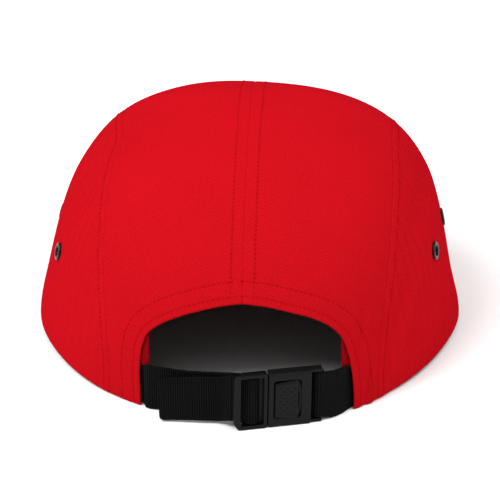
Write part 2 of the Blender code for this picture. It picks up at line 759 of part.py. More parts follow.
def buckle_socket(look):
    """Right half: a hollow block with the button's window, and two arms with the end bar."""
    left = socket_left()
    body_end = left + SOCKET_LENGTH
    half = slot_half() + RAIL
    bar_x, bar_y = end_bar()
    frame = buckle_frame()
    item = box("buckle_socket", (left, -BUCKLE_FACE, -half),
               (body_end + ARM_LENGTH, BUCKLE_BACK, half), look, BUCKLE_EDGE)
    cavity = box("socket_cavity", (left - RAIL, -TONGUE_WALL / 2.0 - FIT_GAP, -slot_half()),
                 (left + SOCKET_BORDER + WINDOW_LENGTH + 3.0 * FIT_GAP, TONGUE_WALL / 2.0 + FIT_GAP,
                  slot_half()), look)
    window = box("socket_window", (left + SOCKET_BORDER, -2.0 * BUCKLE_FACE, -WINDOW_HEIGHT / 2.0),
                 (left + SOCKET_BORDER + WINDOW_LENGTH, 0.0, WINDOW_HEIGHT / 2.0), look)
    space = box("socket_space", (body_end, -2.0 * BUCKLE_FACE, -slot_half()),
                (body_end + 2.0 * ARM_LENGTH, 2.0 * BUCKLE_BACK, slot_half()), look)
    bar = rod("socket_bar", BAR_RADIUS, -slot_half() - RAIL / 2.0, slot_half() + RAIL / 2.0, look, 12)
    bar.location = (bar_x, bar_y, 0.0)
    for other, operation in ((cavity, "DIFFERENCE"), (window, "DIFFERENCE"), (space, "DIFFERENCE"),
                             (bar, "UNION")):
        other.matrix_world = frame @ Matrix.Translation(other.location)
        combine(item, other, operation)
    item.matrix_world = frame
    return item


# Rest pose

def world_points(item):
    matrix = np.array(item.matrix_world)
    graph = bpy.context.evaluated_depsgraph_get()
    mesh = item.evaluated_get(graph).to_mesh()
    flat = np.empty(3 * len(mesh.vertices))
    mesh.vertices.foreach_get("co", flat)
    return flat.reshape(-1, 3) @ matrix[:3, :3].T + matrix[:3, 3]


def lean_angle(points):
    """Tilt about X at which the lowest points of the front and of the rear stand level."""
    low, high = 0.0, math.radians(20.0)
    front = points[points[:, 1] > 0.0]
    rear = points[points[:, 1] <= 0.0]
    for _ in range(40):
        middle = (low + high) / 2.0
        front_low = (front[:, 1] * math.sin(middle) + front[:, 2] * math.cos(middle)).min()
        rear_low = (rear[:, 1] * math.sin(middle) + rear[:, 2] * math.cos(middle)).min()
        if front_low < rear_low:
            low = middle
        else:
            high = middle
    return middle


def settle(solids, helpers):
    """Stand the cap on its peak and its rear, with its box centred over the origin."""
    bpy.context.view_layer.update()
    points = np.concatenate([world_points(item) for item in solids])
    tilt = Matrix.Rotation(lean_angle(points), 4, "X")
    turned = points @ np.array(tilt.to_3x3()).T
    low = turned.min(axis=0)
    high = turned.max(axis=0)
    shift = Matrix.Translation((-(low[0] + high[0]) / 2.0, -(low[1] + high[1]) / 2.0, -low[2]))
    for item in solids + helpers:
        item.matrix_world = shift @ tilt @ item.matrix_world


def main():
    remove_scene_objects()
    red = material("red_cotton_twill", (0.76, 0.008, 0.016), 0.85)
    black_cloth = material("black_cotton", (0.02, 0.02, 0.021), 0.9)
    webbing = material("black_webbing", (0.012, 0.012, 0.013), 0.75)
    plastic = material("black_plastic", (0.018, 0.018, 0.019), 0.45)
    metal = material("black_metal", (0.03, 0.03, 0.032), 0.35, 0.8)
    solids = [
        front_panel(red),
        side_panel("side_panel_left", -1.0, red),
        side_panel("side_panel_right", 1.0, red),
        back_panel("back_panel_left", -1.0, red),
        back_panel("back_panel_right", 1.0, red),
        front_backing(black_cloth),
        sweatband(black_cloth),
        peak(red),
        strap_left(webbing),
        strap_right(webbing),
        buckle_insert(plastic),
        buckle_socket(plastic),
    ]
    solids += [eyelet(name, across, along, metal) for name, across, along in EYELETS]
    helpers = [item for item in bpy.data.objects if item.hide_render]
    settle(solids, helpers)


main()
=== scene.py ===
"""Looks of a five panel cap: twill panels, webbing strap, push buckle, eyelets, sweatband and peak."""
import math
from functools import partial

import bpy
import numpy as np
from bpy.props import FloatProperty, FloatVectorProperty, PointerProperty
from mathutils import Matrix, Vector


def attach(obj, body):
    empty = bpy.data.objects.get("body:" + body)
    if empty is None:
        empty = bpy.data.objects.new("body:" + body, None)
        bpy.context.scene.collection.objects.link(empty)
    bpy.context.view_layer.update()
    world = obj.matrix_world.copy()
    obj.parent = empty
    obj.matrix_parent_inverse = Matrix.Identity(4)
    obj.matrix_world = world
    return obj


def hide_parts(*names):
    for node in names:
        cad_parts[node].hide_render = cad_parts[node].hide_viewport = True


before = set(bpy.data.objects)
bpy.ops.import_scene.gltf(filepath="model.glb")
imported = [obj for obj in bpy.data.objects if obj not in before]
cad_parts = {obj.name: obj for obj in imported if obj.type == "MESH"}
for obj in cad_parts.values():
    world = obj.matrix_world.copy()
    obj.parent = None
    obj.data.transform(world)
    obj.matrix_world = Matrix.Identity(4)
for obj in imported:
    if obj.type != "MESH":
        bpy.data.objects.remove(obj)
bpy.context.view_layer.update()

bl_info = {
    "name": "Five Panel Cap",
    "version": (1, 0, 0),
    "blender": (4, 5, 0),
    "location": "View3D > Sidebar > Cap",
    "description": "Builds the cloth, strap, buckle and stage of a five panel cap",
    "category": "Object",
}

MM = 0.001
BODY = "root"

# Rest pose: the hem's plane tilts up towards the peak, and the hem's middle stands here
REST_TILT = math.radians(2.64643)
REST_PLACE = (0.0013, -0.0307302, 0.0039713)

# Shape of the crown's sides: share of lean, shoulder power. Then the powers of the hem's and the top's oval
SIDE_SHAPES = {
    "left": (0.269, 5.3),
    "right": (0.205, 6.1),
    "front": (0.151, 2.5),
    "rear": (0.120, 2.6),
}
HEM_SQUARENESS = 1.95
TOP_SQUARENESS = 2.50
LEAN_GROWTH = 1.3

# Seams as shares over the crown's plan, where the hem is at 1 from the middle: across, along.
# The side seam is cut in two level with the arch's top, and where a side panel's rear edge ends.
SIDE_SEAM = (
    (0.592, -0.806),
    (0.546, -0.748),
    (0.502, -0.646),
    (0.446, -0.458),
    (0.388, -0.243),
    (0.364, -0.090),
    (0.362, 0.100),
    (0.385, 0.360),
)
SEAM_AT_ARCH = 32.0 / 60.0
SEAM_AT_BEND = 22.0 / 60.0
FRONT_SEAM_MIDDLE = (0.0, 0.305)
FRONT_SIDE_SEAM = (
    (0.385, 0.360),
    (0.520, 0.455),
    (0.670, 0.535),
    (0.800, 0.600),
)

# Arch edge from its top to the hem: share of its height, shares of its half width to the left and right
ARCH_ROWS = (
    (1.000, 0.000, 0.000),
    (0.975, 0.200, 0.240),
    (0.930, 0.395, 0.440),
    (0.870, 0.580, 0.645),
    (0.775, 0.775, 0.825),
    (0.675, 0.895, 0.925),
    (0.520, 0.955, 0.990),
    (0.360, 0.972, 1.020),
    (0.180, 0.975, 1.035),
    (0.000, 0.975, 1.035),
)

# Soft folds over the plan: across, along, half length, half width, turn in degrees, height in millimetres
FOLDS = (
    (-0.22, 0.110, 0.220, 0.045, -24.0, 1.10),
    (0.20, 0.060, 0.220, 0.045, -8.0, 1.00),
    (0.575, -0.280, 0.240, 0.034, 90.0, 1.00),
    (0.510, -0.180, 0.120, 0.030, 80.0, -0.70),
    (-0.56, 0.020, 0.130, 0.090, 60.0, 0.90),
    (-0.50, -0.420, 0.140, 0.040, 75.0, -0.60),
    (0.985, 0.000, 0.500, 0.060, 90.0, 1.20),
    (-0.985, 0.000, 0.500, 0.060, 90.0, 1.00),
    (0.483, -0.876, 0.100, 0.100, 0.0, 1.60),
    (-0.450, -0.893, 0.100, 0.100, 0.0, -0.60),
    (-0.220, 0.300, 0.200, 0.200, 0.0, 0.90),
    (0.260, 0.300, 0.180, 0.180, 0.0, -0.50),
    (0.990, -0.070, 0.120, 0.045, 94.0, 1.10),
    (0.604, -0.570, 0.110, 0.016, 92.0, 1.30),
    (0.550, -0.500, 0.090, 0.022, 90.0, -1.20),
    (0.415, -0.665, 0.060, 0.011, 104.0, -0.95),
    (0.510, -0.800, 0.050, 0.009, 105.0, -0.80),
    (0.537, -0.785, 0.045, 0.011, 105.0, 0.60),
    (-0.345, -0.050, 0.080, 0.040, -45.0, -1.70),
    (-0.300, -0.100, 0.100, 0.024, 72.0, 1.10),
    (-0.485, -0.100, 0.060, 0.018, -28.0, -1.30),
    (-0.455, -0.200, 0.080, 0.020, 70.0, -0.35),
)

# Eyelets: name, across and along over the plan
EYELETS = (
    ("eyelet_left_rear", -0.697, -0.235),
    ("eyelet_left_front", -0.744, 0.140),
    ("eyelet_right_rear", 0.656, -0.243),
    ("eyelet_right_front", 0.709, 0.034),
)

# Groove of a sewn seam, and rows of stitching beside the seams and the arch edge
SEAM_DEPTH = 0.20 * MM
SEAM_HALF = 0.40 * MM
ROLL_RADIUS = 0.6 * MM
CENTRE_ROW = 4.8 * MM
SIDE_ROW = 3.3 * MM
FRONT_ROW = 3.0 * MM
ARCH_NEAR_ROW = 3.2 * MM
ARCH_FAR_ROW = 9.3 * MM
PEAK_ROWS = (5.0 * MM, 11.0 * MM, 17.0 * MM, 23.0 * MM)
ROW_WIDTH = 0.55 * MM
STITCH_COVER = 0.78
DIMPLE_DEPTH = 0.5 * MM
DIMPLE_RADIUS = 4.6 * MM

# Sewn edges in millimetres: height and fade of the doubled layer, then of the puckers their height, rate,
# sway, slow rate and spread
SEAM_LAYERS = (0.06, 1.6, 0.035, 0.95, 1.7, 0.23, 2.2)
ARCH_LAYERS = (0.10, 1.5, 0.050, 0.90, 1.3, 0.21, 2.0)

# Distance between the twill's ribs, across and along the weave: on the strips, on the side panels
STRIP_WALE = (0.98 * MM, 1.55 * MM)
SIDE_WALE = (12.0 * MM, 0.90 * MM)
# Inner face of the cloth: a share of the twill's colours, painted shade inside the crown
INNER_SHADE_SHARE = 0.16
# Arch facing: a share of the twill's colours, painted shade in the arch
FACING_SHADE_SHARE = 0.55

# Facing behind the arch edge: heights it spans above the hem, its straight edge left and right of the middle
FACING_RISE = (19.5 * MM, 40.0 * MM)
FACING_EDGE = (39.3 * MM, 41.3 * MM)
FACING_LAP = 3.0 * MM
FACING_WALL = 0.7 * MM

# Sweatband, backing and peak
BAND_HEIGHT = 32.0 * MM
BAND_WALL = 1.0 * MM
BAND_PAD = 0.5 * MM
BACKING_WALL = 0.8 * MM
PEAK_SPAN = math.radians(54.0)
PEAK_CORNER = 2.5 * MM
PEAK_DECLINE = 3.0 * MM
PEAK_CAMBER = 8.5 * MM
PEAK_ROUNDING = 2.6
QUILT_DEPTH = 0.12 * MM

# Eyelet profile in millimetres from its axis and above the cloth, from the bore round the lip to the flange
EYELET_BORE = (
    (2.02, 0.25), (1.95, -0.6), (1.95, -2.2), (2.3, -2.45), (3.2, -2.4), (3.5, -2.1),
    (3.3, -1.95), (2.6, -1.9), (2.6, 0.0), (3.9, 0.05),
)

# Buckle sizes in its own frame: x to the right along the strap, y inwards, z up
BUCKLE_ACROSS = 14.9 * MM
BUCKLE_RISE = 13.5 * MM
BUCKLE_STAND = 0.8 * MM
BUCKLE_LEAN = 0.3
BUCKLE_YAW = math.radians(4.5)
BUCKLE_ROLL = math.radians(1.2)
BUCKLE_FACE = 2.8 * MM
BUCKLE_BACK = 2.0 * MM
INSERT_BACK = 1.3 * MM
BUCKLE_WALL = 1.7 * MM
RAIL = 1.35 * MM
BAR_RADIUS = 1.1 * MM
FRAME_LENGTH = 13.1 * MM
FRAME_POST = 2.0 * MM
FRAME_END = 1.5 * MM
DEEP_POST = 3.2 * MM
SOCKET_LENGTH = 18.0 * MM
SOCKET_BORDER = 2.2 * MM
ARM_LENGTH = 4.8 * MM
WINDOW_LENGTH = 12.4 * MM
WINDOW_HEIGHT = 17.6 * MM
WINDOW_BOW = 1.2 * MM
TONGUE_WALL = 1.6 * MM
BUTTON_RECESS = 0.35 * MM
BUTTON_DIP = 0.9 * MM
PIT_DEPTH = 0.8 * MM
PIT_RADIUS = 0.44 * MM
BUTTON_SPAN = (1.05 * MM, 9.55 * MM)
BUTTON_WALL = 0.9 * MM
RIB_HALF = 0.72 * MM
RIB_DEPTH = 0.9 * MM
TUCK = 0.12 * MM
BLOCK_EDGE = 0.3 * MM
LAYER_GAP = 0.4 * MM
FIT_GAP = 0.35 * MM
STRAP_HIDDEN = 10.0 * MM
STRAP_RISE = 0.15 * MM
LEFT_HIDDEN_SHARE = 0.87
RIGHT_HIDDEN_SHARE = 0.96
TAIL_CORNER = 2.0 * MM

# Free webbing beside the buckle: share of the arch half width to the right, then as shares of the
# webbing's wall its rise, how far its lower edge and how far its upper edge stand outside the crown
BASE_RUN = (
    (-0.898, 0.05, -0.62, 0.60),
    (-0.795, 0.40, -1.15, 1.00),
    (-0.670, 0.75, -1.54, 0.90),
    (-0.552, 0.80, -1.46, 0.70),
    (-0.380, 1.25, -0.77, 0.80),
    (-0.195, 1.77, -0.46, 1.08),
)
TAIL_RUN = (
    (-0.198, 1.54, 1.31, 3.62),
    (-0.386, 1.31, 1.92, 4.31),
    (-0.561, 1.08, 3.08, 5.77),
    (-0.668, 0.92, 4.15, 7.31),
    (-0.766, 0.77, 5.46, 9.23),
)
RIGHT_RUN = (
    (0.943, 0.15, 1.31, 1.00),
    (0.875, 0.25, 2.31, 1.60),
)

# Photograph's view: point looked at, turn and height of the camera, its distance and its lens
LOOK_AT = (0.00063, -0.03086, 0.03095)
VIEW_TURN = math.radians(2.55)
VIEW_HEIGHT = math.radians(26.416)
VIEW_DISTANCE = 1.10
LENS = 179.5
SENSOR = 36.0

# Lights: name, place, place aimed at, size in metres, power in watts
LIGHT_AIM = (0.0, -0.03, 0.04)
LIGHTS = (
    ("key_light", (-0.958, -0.671, 1.497), LIGHT_AIM, 1.2, 31.0),
    ("fill_light", (0.823, -0.475, 1.645), LIGHT_AIM, 1.2, 15.0),
    ("rear_light", (-0.088, -1.003, 1.611), LIGHT_AIM, 1.2, 4.0),
    ("left_light", (-1.80, -0.30, 0.85), LIGHT_AIM, 1.0, 8.0),
    ("right_light", (1.75, -0.35, 0.95), LIGHT_AIM, 1.0, 10.0),
    ("top_light", (0.0, 0.0, 2.0), (0.0, 0.0, 0.0), 2.0, 4.5),
)
SKY_STRENGTH = 0.30
FLOOR_REACH = 6.0


# Settings

def length_of(name, description, default):
    """Setting for one of the cap's lengths."""
    return FloatProperty(name=name, description=description, default=default, unit="LENGTH", subtype="DISTANCE")


def colour_of(name, description, *default):
    """Setting for one of the cap's opaque colours."""
    return FloatVectorProperty(name=name, description=description, size=4, default=(*default, 1.0),
                               subtype="COLOR")


class CapSizes(bpy.types.PropertyGroup):
    """Sizes of the cap's cloth and webbing."""
    crown_height: length_of("Crown height", "Hem to the top of the crown", 0.100)
    hem_left: length_of("Hem left", "Reach of the hem to the left", 0.0928)
    hem_right: length_of("Hem right", "Reach of the hem to the right", 0.090)
    hem_front: length_of("Hem front", "Reach of the hem to the front", 0.098)
    hem_rear: length_of("Hem rear", "Reach of the hem to the rear", 0.098)
    cloth: length_of("Cloth", "Wall of a cloth panel", 0.0011)
    arch_half_width: length_of("Arch half width", "Middle to the side of the rear arch", 0.044)
    arch_height: length_of("Arch height", "Hem to the top of the rear arch", 0.0498)
    webbing_width: length_of("Webbing width", "Width of the strap", 0.0215)
    webbing_wall: length_of("Webbing wall", "Thickness of the strap", 0.0013)
    peak_reach: length_of("Peak reach", "Hem to the peak's front edge", 0.066)
    peak_wall: length_of("Peak wall", "Thickness of the peak", 0.003)
    stitch: length_of("Stitch", "Length of one stitch", 0.0020)
    thread: length_of("Thread", "Radius of the sewing thread", 0.00014)
    rib: length_of("Rib", "Distance between the ribs of the webbing", 0.00098)


class CapColours(bpy.types.PropertyGroup):
    """Colours of the cap's cloth, webbing and hardware."""
    # The twill's two colours: painted light on its ribs, painted shade in its furrows
    cloth: colour_of("Cloth", "Lit ribs of the red twill", 0.530, 0.0052, 0.0104)
    cloth_shade: colour_of("Cloth shade", "Furrows of the red twill", 0.275, 0.0026, 0.0050)
    thread: colour_of("Thread", "Red sewing thread", 0.41, 0.0030, 0.0073)
    lining: colour_of("Lining", "Sweatband and backing", 0.0045, 0.0045, 0.0047)
    webbing: colour_of("Webbing", "Black strap", 0.0013, 0.0013, 0.00137)
    plastic: colour_of("Plastic", "Black buckle", 0.0028, 0.0028, 0.0030)
    metal: colour_of("Metal", "Black lacquered eyelets", 0.009, 0.009, 0.0095)
    worn_metal: colour_of("Worn metal", "Eyelets where their lacquer is thin", 0.055, 0.052, 0.050)


def sizes():
    return bpy.context.scene.cap_sizes


def colours():
    return bpy.context.scene.cap_colours


# Crown surface

def side_reach(side, level):
    """Reach at a level: the hem reach, leaned in with height, times the rounded shoulder."""
    lean, shoulder = SIDE_SHAPES[side]
    reach = getattr(sizes(), "hem_" + side)
    level = np.clip(level, 0.0, 1.0)
    return reach * (1.0 - lean * level ** LEAN_GROWTH) * np.sqrt(np.maximum(1.0 - level ** shoulder, 1e-12))


def half_width(right, level):
    return np.where(right < 0.0, side_reach("left", level), side_reach("right", level))


def squareness(level):
    """Power of a level's oval, from the hem's to the top's."""
    return HEM_SQUARENESS + (TOP_SQUARENESS - HEM_SQUARENESS) * np.clip(level, 0.0, 1.0)


def oval(right, front, level):
    """Point of the level oval in a unit direction: |x / X| and |y / Y|, each to the power p, add up to one."""
    half_y = np.where(front < 0.0, side_reach("rear", level), side_reach("front", level))
    power = squareness(level)
    shares = (np.abs(right) / half_width(right, level)) ** power + (np.abs(front) / half_y) ** power
    reach = shares ** (-1.0 / power)
    return np.stack([reach * right, reach * front, sizes().crown_height * level], axis=-1)


def crown_base(plan):
    """Crown without folds: the plan's radius times a quarter turn is an angle whose cosine is the level."""
    plan = np.asarray(plan, dtype=float)
    radius = np.hypot(plan[..., 0], plan[..., 1])
    front = np.where(radius < 1e-9, 1e-9, plan[..., 1])
    radius = np.maximum(radius, 1e-9)
    return oval(plan[..., 0] / radius, front / radius, np.cos(radius * math.pi / 2.0))


def slopes(surface, plan, step=2e-3):
    """Change of a surface across and along the plan, from central differences."""
    across = (surface(plan + (step, 0.0)) - surface(plan - (step, 0.0))) / (2.0 * step)
    along = (surface(plan + (0.0, step)) - surface(plan - (0.0, step))) / (2.0 * step)
    return across, along


def facing(surface, plan):
    """Unit normals: the cross product of the slopes, made one long."""
    across, along = slopes(surface, plan)
    normal = np.cross(across, along)
    return normal / np.linalg.norm(normal, axis=-1, keepdims=True)


def fold_height(plan):
    """Sum of soft ridges and dents, each a Gaussian hill stretched along its own line."""
    height = np.zeros(plan.shape[:-1])
    for across, along, length, width, turn, rise in FOLDS:
        angle = math.radians(turn)
        shift = plan - (across, along)
        down_line = shift[..., 0] * math.cos(angle) + shift[..., 1] * math.sin(angle)
        off_line = shift[..., 1] * math.cos(angle) - shift[..., 0] * math.sin(angle)
        height += rise * np.exp(-0.5 * ((down_line / length) ** 2 + (off_line / width) ** 2))
    return height * MM


def crown_folded(plan):
    return crown_base(plan) + facing(crown_base, plan) * fold_height(plan)[..., None]


def crown_point(plan, depth=0.0):
    """Point at a depth under the folded outer face; a negative depth lies outside it."""
    plan = np.asarray(plan, dtype=float)
    depth = np.broadcast_to(np.asarray(depth, dtype=float), plan.shape[:-1])
    return crown_folded(plan) - facing(crown_folded, plan) * depth[..., None]


def rear_plan(x, z):
    """Plan place of the rear point at a given distance across and height above the hem."""
    level = np.asarray(z, dtype=float) / sizes().crown_height
    x = np.asarray(x, dtype=float)
    power = squareness(level)
    y = -side_reach("rear", level) * (1.0 - (np.abs(x) / half_width(x, level)) ** power) ** (1.0 / power)
    radius = np.arccos(level) * 2.0 / math.pi
    return np.stack([x, y], axis=-1) * (radius / np.hypot(x, y))[..., None]


def rest_matrix():
    return Matrix.Translation(REST_PLACE) @ Matrix.Rotation(REST_TILT, 4, "X")


def moved(points, matrix):
    """Points turned and moved by a matrix."""
    table = np.array(matrix)
    return np.asarray(points) @ table[:3, :3].T + table[:3, 3]


def rested(points):
    """Points of the cap's own frame, tilted and moved to where the cap stands."""
    return moved(points, rest_matrix())


def walked_lengths(points):
    """Length of a line of points from its start to each of them."""
    return np.concatenate([[0.0], np.cumsum(np.linalg.norm(np.diff(points, axis=0), axis=1))])


def hem_gap(plan):
    """Length up the crown's side from the hem, a quarter circle over the plan's radius."""
    return (1.0 - np.hypot(plan[..., 0], plan[..., 1])) * sizes().crown_height * math.pi / 2.0


# Lines and grids over the plan

def hem_angle(plan):
    return math.atan2(plan[0], plan[1])


def hem_line(start, end, shares):
    angles = start + (end - start) * np.asarray(shares)
    return np.stack([np.sin(angles), np.cos(angles)], axis=-1)


def smooth_line(points, shares):
    """Points at shares of the length of the cubic curve through the given points."""
    points = np.asarray(points, dtype=float)
    lengths = np.linalg.norm(np.diff(points, axis=0), axis=1)
    stops = np.concatenate([[0.0], np.cumsum(lengths)])
    tangents = np.gradient(points, stops, axis=0)
    fine = np.linspace(0.0, stops[-1], 40 * len(points))
    index = np.clip(np.searchsorted(stops, fine, side="right") - 1, 0, len(lengths) - 1)
    span = lengths[index][:, None]
    part = ((fine - stops[index]) / lengths[index])[:, None]
    curve = (
        (2.0 * part ** 3 - 3.0 * part ** 2 + 1.0) * points[index]
        + (part ** 3 - 2.0 * part ** 2 + part) * span * tangents[index]
        + (3.0 * part ** 2 - 2.0 * part ** 3) * points[index + 1]
        + (part ** 3 - part ** 2) * span * tangents[index + 1]
    )
    walked = walked_lengths(curve)
    even = np.asarray(shares) * walked[-1]
    return np.stack([np.interp(even, walked, curve[:, k]) for k in range(points.shape[1])], axis=-1)


def shares_with_edges(count, length, first=True, last=True):
    """Even shares from 0 to 1, with closer ones within a millimetre of the named ends."""
    near = np.array([0.15, 0.35, 0.6, 0.95, 1.4]) * MM / length
    extra = [np.linspace(0.0, 1.0, count)]
    if first:
        extra.append(near)
    if last:
        extra.append(1.0 - near)
    return np.unique(np.round(np.concatenate(extra), 6))


def filled(bottom, top, left, right, across, along):
    """Coons patch: the two ruled grids between four edge lines, less the grid through their corners."""
    u = np.asarray(across)[None, :, None]
    v = np.asarray(along)[:, None, None]
    ruled = (1.0 - v) * bottom[None] + v * top[None] + (1.0 - u) * left[:, None] + u * right[:, None]
    corners = (
        (1.0 - u) * (1.0 - v) * bottom[0]
        + u * (1.0 - v) * bottom[-1]
        + (1.0 - u) * v * top[0]
        + u * v * top[-1]
    )
    return ruled - corners


def mirrored(line, side):
    return np.asarray(line, dtype=float) * (side, 1.0)


def side_seam(side, shares):
    return mirrored(smooth_line(SIDE_SEAM, shares), side)


def front_side_seam(side, shares):
    return mirrored(smooth_line(FRONT_SIDE_SEAM, shares), side)


def front_seam(shares):
    """Arc across the crown's top, from the left side seam's end to the right one's."""
    end_across, end_along = SIDE_SEAM[-1]
    share = np.linspace(-1.0, 1.0, 41)
    along = FRONT_SEAM_MIDDLE[1] + (end_along - FRONT_SEAM_MIDDLE[1]) * share ** 2
    return smooth_line(np.stack([end_across * share, along], axis=-1), shares)


def centre_seam(shares):
    start = arch_line(1.0, [0.0])[0]
    end = np.asarray(FRONT_SEAM_MIDDLE)
    return start + (end - start) * np.asarray(shares)[:, None]


def arch_line(side, shares):
    rows = np.array(ARCH_ROWS)
    across = rows[:, 2] if side > 0 else -rows[:, 1]
    line = smooth_line(np.stack([across, rows[:, 0]], axis=-1), shares)
    return rear_plan(line[:, 0] * sizes().arch_half_width, line[:, 1] * sizes().arch_height)


def arch_foot(side):
    """Place across where the arch edge meets the hem, to the left or right of the middle."""
    share = ARCH_ROWS[-1][2] if side > 0 else ARCH_ROWS[-1][1]
    return side * share * sizes().arch_half_width


def beside(line, distance, steps=3):
    """Line moved sideways over the crown by a real distance, to the left of its run for a positive one."""
    line = np.array(line, dtype=float)
    for _ in range(steps):
        across, along = slopes(crown_base, line)
        run = np.gradient(line, axis=0)
        forward = across * run[:, :1] + along * run[:, 1:]
        forward /= np.linalg.norm(forward, axis=-1, keepdims=True)
        aside = np.cross(facing(crown_base, line), forward) * distance / steps
        aa, ab, bb = (np.sum(p * q, axis=-1) for p, q in ((across, across), (across, along), (along, along)))
        pa, pb = np.sum(across * aside, axis=-1), np.sum(along * aside, axis=-1)
        scale = aa * bb - ab * ab
        line = line + np.stack([(bb * pa - ab * pb) / scale, (aa * pb - ab * pa) / scale], axis=-1)
    return line


def gap_to(points, line):
    """Distance of each point to a line of points, and how far along the line its nearest place lies."""
    start = line[:-1]
    step = np.diff(line, axis=0)
    length = np.linalg.norm(step, axis=1)
    walked = np.concatenate([[0.0], np.cumsum(length)])[:-1]
    shift = points[:, None, :] - start[None]
    part = np.clip(np.sum(shift * step[None], axis=-1) / np.maximum(length ** 2, 1e-18), 0.0, 1.0)
    gap = np.linalg.norm(shift - part[..., None] * step[None], axis=-1)
    nearest = np.argmin(gap, axis=1)
    rows = np.arange(len(points))
    return gap[rows, nearest], walked[nearest] + part[rows, nearest] * length[nearest]


def gap_over(plan, lines):
    """Least distance over the crown to any of the plan lines, and the run along the nearest one."""
    points = crown_base(plan).reshape(-1, 3)
    gap = np.full(len(points), 1.0)
    run = np.zeros(len(points))
    for line in lines:
        found, along = gap_to(points, crown_base(line))
        closer = found < gap
        gap = np.where(closer, found, gap)
        run = np.where(closer, along, run)
    return gap.reshape(plan.shape[:-1]), run.reshape(plan.shape[:-1])


# Cloth relief

def ramp(value, low, high):
    """Smooth step from 0 at low to 1 at high."""
    part = np.clip((value - low) / (high - low), 0.0, 1.0)
    return part * part * (3.0 - 2.0 * part)


def hem_roll(plan):
    """Depth of the rounded hem."""
    return rolled_edge(np.maximum(hem_gap(plan), 0.0))


def seam_groove(gap):
    """Turned-in edge beside a seam, a Gaussian groove."""
    return -SEAM_DEPTH * np.exp(-(gap / SEAM_HALF) ** 2)


def sewn_relief(gap, run, row, layers=SEAM_LAYERS):
    """Height beside a seam: a doubled layer as far as the stitch row, and small puckers along the row."""
    doubled, fade, high, rate, sway, slow, spread = layers
    layer = doubled * (1.0 - ramp(gap, row - 0.2 * MM, row + fade * MM))
    pucker = np.sin(run / MM * rate + sway * np.sin(run / MM * slow)) * np.exp(-((gap - row) / (spread * MM)) ** 2)
    return (layer + high * pucker) * MM


def rolled_edge(gap, radius=ROLL_RADIUS):
    """Depth of a rounded free edge: a quarter circle over the last bit of cloth."""
    part = np.clip(1.0 - gap / radius, 0.0, 1.0)
    return radius * (1.0 - np.sqrt(1.0 - part ** 2))


def walked_across(plan, steps=13):
    """Real length across the crown from its middle line, by the trapezium rule."""
    part = np.linspace(0.0, 1.0, steps)
    points = crown_base(np.stack([plan[..., 0, None] * part, np.broadcast_to(plan[..., 1, None],
                                  plan.shape[:-1] + (steps,))], axis=-1))
    length = np.linalg.norm(np.diff(points, axis=-2), axis=-1).sum(axis=-1)
    return np.sign(plan[..., 0]) * length


def walked_along(plan):
    """Real length along the crown's middle line from the front to the plan's place along."""
    along = np.linspace(-1.0, 1.0, 201)
    line = crown_base(np.stack([np.zeros_like(along), along], axis=-1))
    walked = walked_lengths(line)
    return np.interp(plan[..., 1], along, walked)


def strip_weave(plan):
    """Weave coordinates of a top strip: real lengths across from the centre seam and along it."""
    return np.stack([walked_across(plan), walked_along(plan)], axis=-1)


def wall_weave(plan):
    """Weave coordinates of a wall panel: length round the hem, and length up the crown's side."""
    angles = np.linspace(-math.pi, math.pi, 361)
    ring = oval(np.sin(angles), np.cos(angles), np.zeros_like(angles))
    angle = np.arctan2(plan[..., 0], plan[..., 1])
    return np.stack([np.interp(angle, angles, walked_lengths(ring)), hem_gap(plan)], axis=-1)


# Meshes

def quads_of(rows, columns, closed_rows=False, closed_columns=False):
    """Corner numbers of the quads of a grid, wrapped round where a direction is closed."""
    order = np.arange(rows * columns).reshape(rows, columns)
    if closed_rows:
        order = np.concatenate([order, order[:1]])
    if closed_columns:
        order = np.concatenate([order, order[:, :1]], axis=1)
    return np.stack([order[:-1, :-1], order[:-1, 1:], order[1:, 1:], order[1:, :-1]], axis=-1).reshape(-1, 4)


def make_piece(name, points, faces, look, replaces=(), weave=None, values=None, sharp=40.0, closed=False):
    """Mesh object at the origin that rides with the cap, with its weave map and point values.

    The faces of a closed piece may differ in corner count, and are turned outwards.
    """
    mesh = bpy.data.meshes.new(name)
    mesh.from_pydata(np.asarray(points).reshape(-1, 3).tolist(), [], faces if closed else faces.tolist())
    mesh.materials.append(look)
    if weave is not None:
        corners = np.empty(len(mesh.loops), dtype=np.int32)
        mesh.loops.foreach_get("vertex_index", corners)
        layer = mesh.uv_layers.new(name="weave")
        layer.data.foreach_set("uv", np.asarray(weave).reshape(-1, 2)[corners].ravel())
    for key, value in (values or {}).items():
        attribute = mesh.attributes.new(key, "FLOAT", "POINT")
        attribute.data.foreach_set("value", np.asarray(value, dtype=np.float32).ravel())
    mesh.shade_smooth()
    mesh.set_sharp_from_angle(angle=math.radians(sharp))
    mesh.update()
    if closed and signed_volume(mesh) < 0.0:
        mesh.flip_normals()
    item = bpy.data.objects.new(name, mesh)
    bpy.context.scene.collection.objects.link(item)
    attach(item, BODY)
    if replaces:
        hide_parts(*replaces)
    return item


def signed_volume(mesh):
    """Volume inside a closed mesh, negative where its faces point inwards."""
    mesh.calc_loop_triangles()
    corners = np.empty(3 * len(mesh.loop_triangles), dtype=np.int32)
    mesh.loop_triangles.foreach_get("vertices", corners)
    flat = np.empty(3 * len(mesh.vertices))
    mesh.vertices.foreach_get("co", flat)
    place = flat.reshape(-1, 3)[corners].reshape(-1, 3, 3)
    return float(np.sum(place[:, 0] * np.cross(place[:, 1], place[:, 2])) / 6.0)


def end_caps(rows, columns):
    """Faces that close both ends of a grid whose columns run round."""
    return [list(range(columns)), list(range(rows * columns - 1, (rows - 1) * columns - 1, -1))]


def thicken(item, wall, inner=0):
    """Wall towards the inside, whose inner face may have the piece's second material."""
    modifier = item.modifiers.new("wall", "SOLIDIFY")
    modifier.material_offset = inner
    modifier.thickness = wall
    modifier.offset = -1.0
    modifier.use_rim = True
    return item


